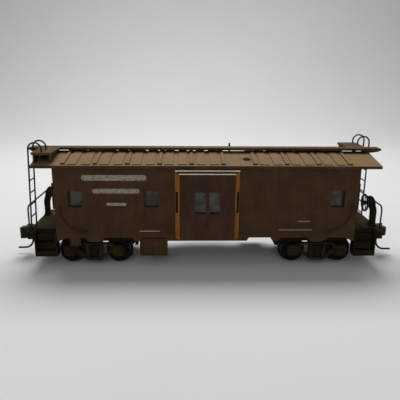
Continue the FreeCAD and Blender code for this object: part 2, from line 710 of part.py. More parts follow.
def running_board_saddles():
    """A saddle on each roof rib and a pair of braces under each end of the walk."""
    body = new_body("running_board_saddles", several=True)
    half = dim.board_side - 0.2
    seat = slope(half, dim.rib_height)
    ridge = slope(as_size(0), dim.rib_height)
    profile = [(-half, seat), (0, ridge), (half, seat), (half, dim.board_low), (-half, dim.board_low)]
    half_width = 0.5
    saddle = pad(body, draw(body, END, FIRST_RIB * dim.rib_pitch - half_width, profile), half_width * 2)
    repeat(body, [saddle], "X_Axis", dim.rib_pitch, RIBS)
    foot_x = dim.roof_end - 2
    inner_y = dim.board_side - 0.9
    brace = [
        (foot_x, slope(inner_y)), (dim.roof_end, slope(inner_y)),
        (dim.board_end - 0.6, dim.board_low - 0.35), (dim.board_end - 0.6, dim.board_low),
        (foot_x, dim.board_low),
    ]
    front_brace = pad(body, draw(body, SIDE, inner_y, brace), 0.6)
    mirror(body, [front_brace], SIDE)
    mirror(body, [front_brace], END)
    pad(body, draw(body, SIDE, -dim.board_side + 0.3, reflect(brace)), 0.6)
    return body


def roof_platform(label, turned):
    """Short walk from the running board to a ladder, on two brackets."""
    body = new_body(label, turned)
    x = (-dim.platform_outer, -dim.platform_inner)
    block(body, x, (-dim.platform_side, -dim.board_side), (dim.board_low, dim.board_top))
    outer, inner = dim.platform_side - 0.6, dim.board_side + 1.2
    bracket = [
        (-outer, slope(outer)), (-outer + 0.9, slope(outer - 0.9)), (-inner - 1.5, dim.board_low - 0.45),
        (-inner, dim.board_low - 0.45), (-inner, dim.board_low + 0.2), (-outer, dim.board_low + 0.2),
    ]
    for bracket_x in (x[0] + 0.4, x[1] - 1.0):
        pad(body, draw(body, END, bracket_x, bracket), 0.6)
    return body


def vent_pipe():
    """Thin pipe through the back slope of the roof."""
    body = new_body("vent_pipe")
    rod(body, PLAN, dim.vent_x, dim.vent_y, dim.vent_radius, dim.roof_hollow_eave, dim.vent_top)
    return body


def ladder(label, turned, foot, head):
    """Wire ladder from the deck over the roof's end to the roof platform."""
    body = new_body(label, turned)
    bend, top = dim.ladder_bend, dim.board_top + dim.ladder_rise
    landing = -head + bend * 2
    path = [
        (-foot, dim.deck_top), (-head, top),
        (-head + bend, top + bend, -bend), (landing, top, -bend), (landing, dim.board_top),
    ]
    wire(body, SIDE, dim.ladder_side, path, dim.wire)
    for number in range(RUNGS):
        height = dim.rung_first + dim.rung_pitch * number
        lean = (foot - head) * ((height - dim.deck_top) / (top - dim.deck_top))
        rod(body, SIDE, -foot + lean, height, dim.wire * 0.85, dim.ladder_inner, dim.ladder_side)
    wire(body, SIDE, dim.ladder_inner, path, dim.wire)
    return body


def end_railing(label, turned, x):
    """Wire hoop across an end platform."""
    body = new_body(label, turned)
    side, top, bend = dim.railing_side, dim.railing_top, dim.railing_bend
    path = [
        (-side, dim.deck_top), (-side, top - bend), (-side + bend, top, -bend),
        (side - bend, top), (side, top - bend, -bend), (side, dim.deck_top),
    ]
    wire(body, END, -x, path, dim.wire)
    return body


def brake_stand(label, turned):
    """Hand-brake stand of the right end: a post whose head leans in over the platform."""
    body = new_body(label, turned)
    x, y, half, top = dim.stand_x, -dim.stand_y, dim.stand_half, dim.stand_top
    foot, low, gear = dim.stand_foot, dim.deck_top, dim.brake_z
    post = [
        (foot - 2.1, low), (foot, low), (foot - 0.05, gear - 5.2), (foot - 0.7, gear - 1.1, 7.5),
        (foot - 2.2, top, 6.0), (foot - 3.2, top), (foot - 3.4, top - 1.2), (foot - 3.4, gear - 1.2),
        (foot - 2.2, gear - 4.4, -7.0),
    ]
    pad(body, draw(body, SIDE, -y, post), half * 1.7, 0)
    block(body, (foot - 2.4, foot + 0.2), (y - half - 0.4, y + half + 0.4), (low, low + 0.6))
    rod(body, END, y, gear, half + 0.35, foot - 3.9, foot - 1.1)
    bore = dim.brake_stem + dim.running_gap
    rod(body, END, y, gear, bore, foot - 5, x - 0.1, cut)
    return body


def brake_wheel(label, turned):
    """Spoked hand wheel and its stem, drawn about its own centre with the stem along +X."""
    body = new_body(label)
    rod(body, END, 0, 0, 0.75, as_size(-0.5), as_size(0.5))
    rod(body, END, 0, 0, dim.brake_stem, as_size(0), dim.stand_x - dim.brake_x - 0.2)
    spoke = rod(body, PLAN, 0, 0, 0.22, as_size(0.3), dim.brake_rim)
    ring = body.newObject("PartDesign::PolarPattern", "spokes")
    ring.Originals = [spoke]
    ring.Axis = (origin_plane(body, "X_Axis"), [""])
    ring.Angle = 360
    ring.Occurrences = SPOKES
    body.Tip = ring
    spin(body, draw(body, PLAN, 0, Circle(0, dim.brake_rim, dim.brake_wire)), "H_Axis")
    x, y = (-dim.brake_x, dim.stand_y) if turned else (dim.brake_x, -dim.stand_y)
    place(body, x, y, dim.brake_z, turned)
    return body


def battery_box(label, turned):
    """Box hung under the floor, its neck filling a notch of the skirt."""
    body = new_body(label, turned)
    outer_y, inner_y = -dim.body_side + 0.1, -dim.body_side + 6
    x = (-dim.battery_outer, -dim.battery_inner)
    shoulder, neck_top = dim.battery_shoulder, dim.sill_high - 0.5
    front = [
        (x[0], dim.battery_low), (x[1], dim.battery_low), (x[1], shoulder), (x[1] - 0.3, shoulder),
        (x[1] - 0.75, neck_top), (x[0] + 1.1, neck_top), (x[0] + 0.7, shoulder), (x[0], shoulder),
    ]
    pad(body, draw(body, SIDE, -inner_y, front), inner_y - outer_y)
    block(body, (x[0] + 3, x[1] - 3), (-dim.floor_side + 0.1, inner_y), (neck_top - 1, dim.floor_low))
    for line_x in (x[0] + 1.1, x[0] + 5.2, x[1] - 1.1):
        groove = box((line_x - 0.12, line_x + 0.12), (dim.battery_low + 0.3, shoulder - 0.2))
        cut(body, draw(body, SIDE, -outer_y - 0.15, groove), 1)
    return body


def equipment_box(label, turned):
    """Small box under the skirt's outer notch."""
    body = new_body(label, turned)
    outer_y = -dim.body_side + 0.1
    x = (-dim.equipment_outer, -dim.equipment_inner)
    block(body, x, (outer_y, outer_y + 0.75), (dim.equipment_low, dim.sill_high))
    lid = box((x[0] + 0.5, x[1] - 0.5), (dim.equipment_low + 0.5, dim.sill_high - 0.8))
    cut(body, draw(body, SIDE, -outer_y - 0.12, lid), 1)
    return body


def side_handrails():
    """Curved wire handrail at each lower corner of the side walls."""
    body = new_body("side_handrails", several=True)
    gap_y = dim.body_side + dim.handrail_gap
    outer, inner, high, low = dim.handrail_outer, dim.handrail_inner, dim.handrail_high, dim.handrail_low
    bend, foot = outer - inner, dim.wire * 1.3
    for side in (1, -1):
        foot_y = (dim.body_side, gap_y + foot) if side > 0 else (-gap_y - foot, -dim.body_side)
        rail = [
            wire(body, SIDE, side * gap_y, [(outer, high), (inner, low, -bend)], dim.wire),
            rod(body, SIDE, outer, high, foot, *foot_y),
            rod(body, SIDE, inner, low, foot, *foot_y),
        ]
        mirror(body, rail, END)
    return body


def end_grab_irons():
    """Upright wire grab iron beside each corner of the end walls."""
    body = new_body("end_grab_irons", several=True)
    low, high, y = dim.grab_low, dim.grab_high, dim.body_side - 1.6
    gap_x = dim.body_end + dim.grab_gap
    for end in (1, -1):
        for side in (1, -1):
            x_range = (dim.body_end, gap_x) if end > 0 else (-gap_x, -dim.body_end)
            rod(body, PLAN, end * gap_x, side * y, dim.wire, low - dim.wire, high + dim.wire)
            for height in (low, high):
                rod(body, END, side * y, height, dim.wire * 0.9, *x_range)
    return body


# ---- Inside and underneath ------------------------------------------------------


def underframe():
    """Floor, centre sill, cross members and the bosses over the trucks."""
    body = new_body("underframe")
    block(body, both(dim.floor_end), both(dim.floor_side), (dim.floor_low, dim.floor_high))
    block(body, both(dim.floor_end), both(dim.centre_sill), (dim.centre_sill_low, dim.floor_low))
    member_y = both(dim.floor_side - 0.8)
    members = []
    for middle, low in ((dim.member_inner, dim.floor_low - 0.9), (dim.member_outer, dim.member_low)):
        member_x = (middle - dim.member_half, middle + dim.member_half)
        members.append(block(body, member_x, member_y, (low, dim.floor_low)))
    mirror(body, members, END)
    sill_x, sill_z = (dim.side_sill_near, dim.side_sill_far), (dim.side_sill_low, dim.floor_low)
    half = dim.side_sill_half
    side_sills = []
    for middle in (dim.side_sill_y, -dim.side_sill_y):
        side_sills.append(block(body, sill_x, (middle - half, middle + half), sill_z))
    mirror(body, side_sills, END)
    boss = rod(body, PLAN, dim.truck_x, 0, dim.boss_radius, dim.boss_low, dim.floor_low)
    mirror(body, [boss], END)
    hole = rod(body, PLAN, dim.truck_x, 0, dim.kingpin_thread, dim.boss_low - 1, dim.floor_high + 1, cut)
    mirror(body, [hole], END)
    return body


def ballast_weight():
    """Flat steel weight lying on the floor."""
    body = new_body("ballast_weight")
    block(body, both(dim.ballast_end), both(dim.ballast_side), (dim.floor_high, dim.ballast_top))
    round_edges(body, as_size(0.6), lambda edge: edge.BoundBox.ZLength > 1)
    return body


def side_glazing():
    """Clear strips behind the side windows."""
    body = new_body("side_glazing", several=True)
    outer = dim.body_side - dim.wall
    z = (dim.window_low - 2, dim.window_high + 2)
    long_strip = (-dim.window_left - 4.5, -dim.window_middle + 4.5)
    short_strip = (dim.window_right - 5, dim.window_right + 5)
    for x in (long_strip, short_strip):
        block(body, x, (-outer, -outer + dim.glass), z)
        block(body, (-x[1], -x[0]), (outer - dim.glass, outer), z)
    return body


def bay_glazing():
    """Clear channel inside each bay."""
    body = new_body("bay_glazing", several=True)
    end, back = dim.bay_glass_end, dim.body_side - 0.4
    front = dim.bay_out - dim.bay_wall
    for side in (1, -1):
        channel = [
            (-end, -side * back), (-end, -side * front), (end, -side * front), (end, -side * back),
            (end - dim.glass, -side * back), (end - dim.glass, -side * (front - dim.glass)),
            (-end + dim.glass, -side * (front - dim.glass)), (-end + dim.glass, -side * back),
        ]
        low, high = dim.bay_pane_low - 0.8, dim.bay_pane_high + 0.8
        pad(body, draw(body, PLAN, low, channel), high - low)
    return body


def door_glazing():
    """Clear pane behind each end door's opening."""
    body = new_body("door_glazing", several=True)
    inner = dim.body_end - dim.wall
    z = (dim.pane_low - 1.5, dim.pane_high + 1.5)
    pane = block(body, (inner - dim.glass, inner), both(dim.pane_side + 1.3), z)
    mirror(body, [pane], END)
    return body


# ---- End platforms and couplers ---------------------------------------------------


def end_platform(label, turned):
    """Deck, side steps and end sill of the right end."""
    body = new_body(label, turned)
    deck_low = dim.deck_top - dim.deck_plate
    body_end, sill_x, end = dim.body_end + 0.05, dim.step_outer, dim.platform_end
    side, full_side = dim.deck_side, dim.body_side
    block(body, (body_end - 3.3, end), both(side), (deck_low, dim.deck_top))
    block(body, (body_end - 3.3, body_end), both(side), (dim.floor_high, deck_low))
    block(body, (sill_x, end), both(full_side), (dim.sill_bottom, dim.deck_top))
    block(body, (dim.box_inner, sill_x), both(dim.box_side), (dim.box_high, deck_low))
    cheek_y, cheek_z = (dim.box_side + 0.05, dim.cheek_side), (dim.cheek_low, dim.sill_bottom)
    cheek = block(body, (dim.box_outer - 1.4, end), cheek_y, cheek_z)
    mirror(body, [cheek], SIDE)
    steps(body)
    screw = dim.swing_pin
    rod(body, PLAN, dim.swing_x, 0, screw, dim.box_high - 1, deck_low - 0.4, cut)
    groove_z = (dim.deck_top - 0.12, dim.deck_top + 1)
    block(body, (end - 0.5, end - 0.15), both(full_side - 0.6), groove_z, cut)
    return body


def steps(body):
    """Two step wells: cheek plates, a back plate and three treads with front lips."""
    inner, outer, plate = dim.step_inner, dim.step_outer, dim.step_plate
    near, far, low, top = dim.deck_side, dim.body_side, dim.step_low, dim.deck_top
    round_low = 1.2
    cheek = [
        (-far, top - 0.8), (-far, low + round_low), (-far + round_low, low, round_low),
        (-near - round_low, low), (-near, low + round_low, round_low), (-near, top - 0.3),
    ]
    pieces = [
        pad(body, draw(body, END, inner, cheek), plate),
        pad(body, draw(body, END, outer - plate, cheek), plate),
        block(body, (inner, outer), (-near - plate, -near), (low + round_low, top)),
    ]
    treads = (
        (dim.tread_high, dim.tread_high_lip, dim.tread_high_back),
        (dim.tread_middle, dim.tread_middle_lip, dim.tread_middle_back),
        (dim.tread_low, dim.tread_low_lip, as_size(0)),
    )
    for height, drop, setback in treads:
        front = -far + setback
        pieces.append(block(body, (inner + 0.1, outer - 0.1), (front, -near - 0.1), (height - 0.5, height)))
        pieces.append(block(body, (inner + 0.1, outer - 0.1), (front, front + 0.5), (height - drop, height)))
    mirror(body, pieces, SIDE)


def draft_gear_box(label, turned):
    """Open-bottomed box that holds the coupler's shank at the right end."""
    body = new_body(label, turned)
    wall = dim.box_wall
    block(body, (dim.box_inner, dim.box_outer), both(dim.box_side), (dim.box_low, dim.box_high))
    inside_x = (dim.box_inner + wall, dim.box_outer + 1)
    block(body, inside_x, both(dim.box_side - wall), (dim.box_low - 1, dim.box_high - wall), cut)
    rod(body, PLAN, dim.swing_x, 0, dim.swing_pin, dim.box_low, dim.box_high + 1, cut)
    return body


def draft_gear_covers():
    """Plate that closes each draft gear box from below."""
    body = new_body("draft_gear_covers", several=True)
    plate = block(
        body, (dim.box_inner, dim.box_outer), both(dim.box_side), (dim.box_low - dim.cover, dim.box_low)
    )
    hole = rod(body, PLAN, dim.swing_x, 0, dim.swing_pin, dim.box_low - 2, dim.box_low, cut)
    mirror(body, [plate, hole], END)
    return body


def centering_springs():
    """Bronze spring plate in each draft gear box, its arms beside the shank."""
    body = new_body("centering_springs", several=True)
    low, reach = dim.box_low, dim.box_side - dim.box_wall - 0.1
    x = (dim.swing_x - 1.2, dim.box_outer - 1.2)
    plate = block(body, x, both(reach), (low, low + 0.2))
    hole = rod(body, PLAN, dim.swing_x, 0, dim.swing_pin + 0.05, low - 1, low + 1, cut)
    arm_x, arm_z = (dim.swing_x + 2, x[1]), (low + 0.2, dim.coupler_z + 0.8)
    arm = block(body, arm_x, (-reach, -reach + 0.2), arm_z)
    other_arm = block(body, arm_x, (reach - 0.2, reach), arm_z)
    mirror(body, [plate, hole, arm, other_arm], END)
    return body


def screw(body, x, head_radius, head_z, shank_radius, shank_top, thread_radius, thread_top):
    """Upright screw with a slotted round head below."""
    parts = [
        rod(body, PLAN, x, 0, head_radius, head_z[0], head_z[1]),
        rod(body, PLAN, x, 0, shank_radius, head_z[1], shank_top),
    ]
    if thread_top is not None:
        parts.append(rod(body, PLAN, x, 0, thread_radius, shank_top, thread_top))
    slot_x = (x - head_radius - 1, x + head_radius + 1)
    slot_z = (head_z[0] - 1, head_z[0] + 0.35)
    parts.append(block(body, slot_x, both(as_size(0.2)), slot_z, cut))
    mirror(body, parts, END)


def coupler_screws():
    """Screw through each draft gear box, which the coupler swings on."""
    body = new_body("coupler_screws", several=True)
    cover_low = dim.box_low - dim.cover
    head_z = (cover_low - 0.7, cover_low)
    screw(body, dim.swing_x, dim.swing_head, head_z, dim.swing_pin, dim.swing_top, None, None)
    return body


def kingpin_screws():
    """Shouldered screw up through each truck bolster into the underframe."""
    body = new_body("kingpin_screws", several=True)
    head_z = (dim.bolster_low_z - 1.05, dim.bolster_low_z - 0.05)
    thread, top = dim.kingpin_thread, dim.floor_high
    screw(body, dim.truck_x, dim.kingpin_head, head_z, dim.kingpin, dim.boss_low, thread, top)
    return body


def coupler_shank(label, turned):
    """Shank with its swing eye, and a head with a guard arm and two lugs for the knuckle."""
    body = new_body(label, turned)
    z, half, side = dim.coupler_z, dim.shank_half, dim.shank_side
    x, pin_x, pin_y = dim.jaw_x, dim.knuckle_x, dim.knuckle_y
    head_x = x - 2.2
    rod(body, PLAN, dim.swing_x, 0, dim.swing_pin + 0.8, z - half, z + half)
    block(body, (dim.swing_x, head_x + 0.2), both(side), (z - half, z + half))
    bore = dim.swing_pin + dim.running_gap
    rod(body, PLAN, dim.swing_x, 0, bore, z - half - 1, z + half + 1, cut)
    guard = [
        (head_x, 0.8), (head_x, -0.8), (x - 1.5, -2.4), (x + 0.9, -2.7), (x + 2.5, -3.0),
        (x + 2.7, -2.4, 0.4), (x + 1.1, -1.6), (x + 0.2, -0.7), (pin_x - 0.5, -0.3), (head_x + 0.1, 0.8),
    ]
    pad(body, draw(body, PLAN, z - dim.head_half, flip(guard)), dim.head_half * 2)
    lug_radius = as_size(1.1)
    lug = [
        (head_x - 0.1, pin_y - 0.6), (head_x + 0.1, pin_y - 1.9), (x + 0.2, -0.6),
        (x + lug_radius, pin_y), (x, pin_y + lug_radius, lug_radius), (pin_x - 0.5, pin_y + lug_radius),
    ]
    gap = dim.knuckle_half + 0.05
    for low in (z - dim.head_half, z + gap):
        pad(body, draw(body, PLAN, low, flip(lug)), dim.head_half - gap)
    pin_bore = dim.trip_radius + dim.running_gap
    rod(body, PLAN, pin_x, -pin_y, pin_bore, z - dim.head_half - 1, z + dim.head_half + 1, cut)
    return body


def knuckle(label, turned):
    """Hooked jaw that turns on the trip pin."""
    body = new_body(label, turned)
    x, y, z, pin_x = dim.jaw_x, dim.knuckle_y, dim.coupler_z, dim.knuckle_x
    jaw = [
        (pin_x - 0.8, y - 0.8), (x + 0.2, y - 1.2), (x + 1.5, y - 0.8), (x + 1.9, y - 1.5),
        (x + 1.8, y - 2.5), (x + 2.5, y - 2.6), (x + 3.1, y - 1.9, 0.7), (x + 3.1, y - 0.4),
        (x + 2.2, y + 0.7, 1.6), (x + 0.4, y + 1.1), (pin_x - 0.6, y + 0.7), (pin_x - 0.9, y),
    ]
    pad(body, draw(body, PLAN, z - dim.knuckle_half, flip(jaw)), dim.knuckle_half * 2)
    rod(body, PLAN, pin_x, -y, dim.trip_radius, z - 2, z + 2, cut)
    return body


def trip_pin(label, turned):
    """Steel pin through the knuckle, curved outward below like an air hose."""
    body = new_body(label, turned)
    x, bend, low = dim.knuckle_x, dim.trip_bend, dim.trip_low
    path = [
        (x, dim.coupler_z + dim.head_half + 0.2), (x, low + bend),
        (x + bend, low, bend), (dim.trip_end, low),
    ]
    wire(body, SIDE, dim.knuckle_y, path, dim.trip_radius)
    return body


# ---- Trucks -----------------------------------------------------------------------


def truck_bolster(label, turned):
    """Cross beam with a bowl under the car's boss and ends that rest on the springs."""
    body = new_body(label)
    half, low, high = dim.bolster_half, dim.bolster_low_z, dim.bolster_high_z
    block(body, both(half), both(dim.frame_inner), (low, high))
    end_z = (low - 0.8, low + 0.15)
    block(body, both(dim.spring_window_foot), both(dim.frame_outer - 0.4), end_z)
    rod(body, PLAN, 0, 0, dim.boss_radius, high, dim.bowl_top)
    rod(body, PLAN, 0, 0, dim.kingpin_head + 0.4, low - 2, low, cut)
    bore = dim.kingpin + dim.running_gap
    rod(body, PLAN, 0, 0, bore, low - 1, dim.bowl_top + 1, cut)
    place_truck_part(body, turned)
    return body


def place_truck_part(body, left):
    place(body, -dim.truck_x if left else dim.truck_x, 0, 0)


def sideframe(label, left, back):
    """Cast side frame with a spring window, two light windows and two journal boxes."""
    body = new_body(label)
    axle_x, z = dim.wheelbase / 2, dim.axle_z
    top, bottom, box_z = dim.frame_top, dim.frame_bottom, dim.journal_box_z
    box_half, corner = dim.journal_box_half, 0.9
    box_low, box_high, box_end = box_z - box_half, box_z + box_half, axle_x + 2.5
    arm_x, arm_z = axle_x - 2.4, bottom + 3.15
    foot, head = dim.spring_window_foot, dim.spring_window_head
    half = [
        (foot + 0.8, bottom), (arm_x, arm_z), (axle_x - 1.9, box_low),
        (box_end - corner, box_low), (box_end, box_low + corner, corner),
        (box_end, box_high - corner), (box_end - corner, box_high, corner),
        (axle_x - 1.6, box_high), (5.8, top),
    ]
    window_low, window_high = bottom + 0.85, top - 0.5
    spring_window = [(-foot, window_low), (foot, window_low), (head, window_high), (-head, window_high)]
    light = [(3.4, bottom + 1.7), (6.4, arm_z + 0.75), (6.4, top - 1.5), (5.6, top - 0.7), (3.55, top - 0.7)]
    inner, outer, lid = dim.frame_inner, dim.frame_outer, dim.journal_box_out
    face = draw(body, SIDE, inner, mirrored_outline(half), spring_window, light, reflect(light))
    pad(body, face, outer - inner)
    raised = dim.frame_rim
    ring = [(-foot - 0.8, bottom), (foot + 0.8, bottom), (head + 0.8, top), (-head - 0.8, top)]
    pad(body, draw(body, SIDE, outer, ring, spring_window), raised)
    flange = pad(body, draw(body, SIDE, outer, box((head + 0.6, 5.5), (top - 0.5, top))), raised)
    strut = [(foot + 0.7, bottom), (arm_x, arm_z), (arm_x, arm_z + 0.6), (foot + 0.7, bottom + 0.7)]
    lower_strut = pad(body, draw(body, SIDE, outer, strut), raised)
    bulge = rounded_box(axle_x, box_z, 2.2, box_half - 0.1, 0.95)
    journal = pad(body, draw(body, SIDE, outer, bulge), lid - outer)
    cap = pad(body, draw(body, SIDE, lid, rounded_box(axle_x, box_z - 0.2, 1.5, box_half - 0.8, 0.5)), 0.3)
    hinge = rod(body, END, -lid, box_high - 0.45, 0.35, axle_x - 1.1, axle_x + 1.1)
    bore = dim.journal_radius + dim.running_gap
    bearing = rod(body, SIDE, axle_x, z, bore, inner - 1, dim.journal_end + 0.1, cut)
    mirror(body, [flange, lower_strut, journal, cap, hinge, bearing], END)
    x = -dim.truck_x if left else dim.truck_x
    place(body, x, 0, 0, turned=back)
    return body


def rounded_box(x, y, half_x, half_y, corner):
    """A rectangle about (x, y) with round corners."""
    left, right, low, high = x - half_x, x + half_x, y - half_y, y + half_y
    return [
        (left, low + corner), (left + corner, low, corner),
        (right - corner, low), (right, low + corner, corner),
        (right, high - corner), (right - corner, high, corner),
        (left + corner, high), (left, high - corner, corner),
    ]


def leaf_springs(label, left):
    """Pack of leaves in each side frame's window."""
    body = new_body(label, several=True)
    low, leaf = dim.spring_low, dim.spring_leaf
    y = (-dim.frame_outer + 0.15, -dim.frame_inner - 0.1)
    pieces = []
    for number in range(LEAVES):
        half = dim.spring_window_foot - 0.18 + 0.06 * number
        z = low + (leaf + dim.spring_gap) * number
        pieces.append(block(body, both(half), y, (z, z + leaf)))
    band_z = (low, low + (leaf + dim.spring_gap) * (LEAVES - 1) + leaf)
    pieces.append(block(body, both(dim.spring_band), y, band_z))
    mirror(body, pieces, SIDE)
    place_truck_part(body, left)
    return body


def axle(label, x):
    """Straight axle with a journal at each end, along Y."""
    body = new_body(label)
    journal, end = dim.journal_radius, dim.journal_end
    shoulder = dim.frame_inner - 0.15
    profile = [
        (0, -end), (journal, -end), (journal, -shoulder), (dim.axle_radius, -shoulder + 0.5),
        (dim.axle_radius, shoulder - 0.5), (journal, shoulder), (journal, end), (0, end),
    ]
    spin(body, draw(body, PLAN, 0, profile), "V_Axis")
    place(body, x, 0, dim.axle_z)
    return body


def wheels(label, x):
    """The two flanged wheels of one axle."""
    body = new_body(label, several=True)
    back, front, tread, flange = dim.wheel_back, dim.wheel_front, dim.tread, dim.flange
    bore, hub, rim = dim.axle_radius, dim.wheel_hub, dim.wheel_rim
    profile = [
        (bore, back + 0.1), (hub, back + 0.1), (hub + 0.3, back + 0.7), (rim - 0.3, back + 0.7), (rim, back),
        (flange - 0.2, back), (flange, back + 0.2, 0.2), (flange, back + 0.45),
        (flange - 0.2, back + 0.65, 0.2), (tread, back + 0.85), (tread - 0.05, front - 0.1),
        (tread - 0.15, front), (rim, front), (rim - 0.3, front - 0.6), (hub + 0.4, front - 0.9),
        (hub, front + 0.05), (bore, front + 0.05),
    ]
    right = spin(body, draw(body, PLAN, 0, profile), "V_Axis")
    mirror(body, [right], SIDE)
    place(body, x, 0, dim.axle_z)
    return body


# ---- Assembly ---------------------------------------------------------------------


def build_all():
    body_shell()
    roof()
    running_board()
    running_board_saddles()
    vent_pipe()
    underframe()
    ballast_weight()
    side_glazing()
    bay_glazing()
    door_glazing()
    side_handrails()
    end_grab_irons()
    draft_gear_covers()
    centering_springs()
    coupler_screws()
    kingpin_screws()
    for side, turned in (("front", False), ("back", True)):
        bay_window(f"bay_window_{side}", turned)
        battery_box(f"battery_box_{side}", turned)
        equipment_box(f"equipment_box_{side}", turned)
    # These are drawn at the left end.
    for end, turned in (("left", False), ("right", True)):
        roof_platform(f"roof_platform_{end}", turned)
    ladder("ladder_left", False, dim.ladder_left_foot, dim.ladder_left_head)
    ladder("ladder_right", True, dim.ladder_right_foot, dim.ladder_right_head)
    end_railing("end_railing_left", False, dim.railing_left)
    end_railing("end_railing_right", True, dim.railing_right)
    # These are drawn at the right end.
    for end, turned in (("right", False), ("left", True)):
        brake_stand(f"brake_stand_{end}", turned)
        brake_wheel(f"brake_wheel_{end}", turned)
        end_platform(f"end_platform_{end}", turned)
        draft_gear_box(f"draft_gear_box_{end}", turned)
        coupler_shank(f"coupler_shank_{end}", turned)
        knuckle(f"knuckle_{end}", turned)
        trip_pin(f"trip_pin_{end}", turned)
        truck_bolster(f"truck_bolster_{end}", turned)
        leaf_springs(f"leaf_springs_{end}", turned)
        for side, back in (("front", False), ("back", True)):
            sideframe(f"sideframe_{end}_{side}", turned, back)
    number = 0
    for truck_x in (-dim.truck_x, dim.truck_x):
        for axle_x in (-dim.wheelbase / 2, dim.wheelbase / 2):
            number += 1
            axle(f"axle_{number}", truck_x + axle_x)
            wheels(f"wheels_{number}", truck_x + axle_x)


def check_document():
    """Stops on any failed object, empty or invalid shape, or cut that removes nothing."""
    problems = []
    for item in doc.Objects:
        failed = "Invalid" in item.State or "Error" in item.State
        if failed:
            owner = item.getParentGeoFeatureGroup()
            problems.append(f"{item.Label} of {owner.Label if owner else doc.Name}: {item.State}")
        elif item.TypeId == "PartDesign::Pocket" and not item.BaseFeature.Shape.isNull():
            before = item.BaseFeature.Shape.Volume
            if item.Shape.Volume > before - VOLUME_TOLERANCE:
                problems.append(f"{item.Label} of {item.getParentGeoFeatureGroup().Label} cuts nothing")
    for body in built:
        if body.Shape.isNull() or not body.Shape.isValid():
            problems.append(f"{body.Label} has no valid shape")
    if problems:
        raise RuntimeError("\n".join(problems))


def export():
    os.makedirs("parts", exist_ok=True)
    for body in built:
        body.Shape.exportStep(os.path.join("parts", f"{body.Label}.step"))


build_all()
doc.recompute()
check_document()
export()
print(f"{len(built)} sub-parts written")
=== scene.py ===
"""Looks of the weathered bay-window caboose model: finishes, fine surface detail and studio.

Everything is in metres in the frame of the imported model. Sizes named in millimetres are
multiplied by MM where they are used. X runs along the car, -Y is its front side, +Z is up.
"""

import math

import bmesh
import bpy
from mathutils import Matrix, Vector


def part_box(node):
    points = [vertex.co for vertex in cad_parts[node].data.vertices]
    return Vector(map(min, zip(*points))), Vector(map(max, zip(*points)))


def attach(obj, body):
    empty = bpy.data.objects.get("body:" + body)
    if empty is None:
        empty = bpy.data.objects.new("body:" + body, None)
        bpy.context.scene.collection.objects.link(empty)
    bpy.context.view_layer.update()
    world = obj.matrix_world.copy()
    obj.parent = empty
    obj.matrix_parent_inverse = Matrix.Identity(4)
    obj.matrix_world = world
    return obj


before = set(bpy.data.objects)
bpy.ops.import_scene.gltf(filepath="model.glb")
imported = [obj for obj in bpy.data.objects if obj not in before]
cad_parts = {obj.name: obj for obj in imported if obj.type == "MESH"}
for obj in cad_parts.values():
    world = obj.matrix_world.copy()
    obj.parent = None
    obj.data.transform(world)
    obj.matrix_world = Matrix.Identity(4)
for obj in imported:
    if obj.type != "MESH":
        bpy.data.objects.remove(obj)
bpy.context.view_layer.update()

MM = 0.001
SUNK = 0.02  # mm that an added piece reaches into the surface it sits on


# ---- Node trees ---------------------------------------------------------------


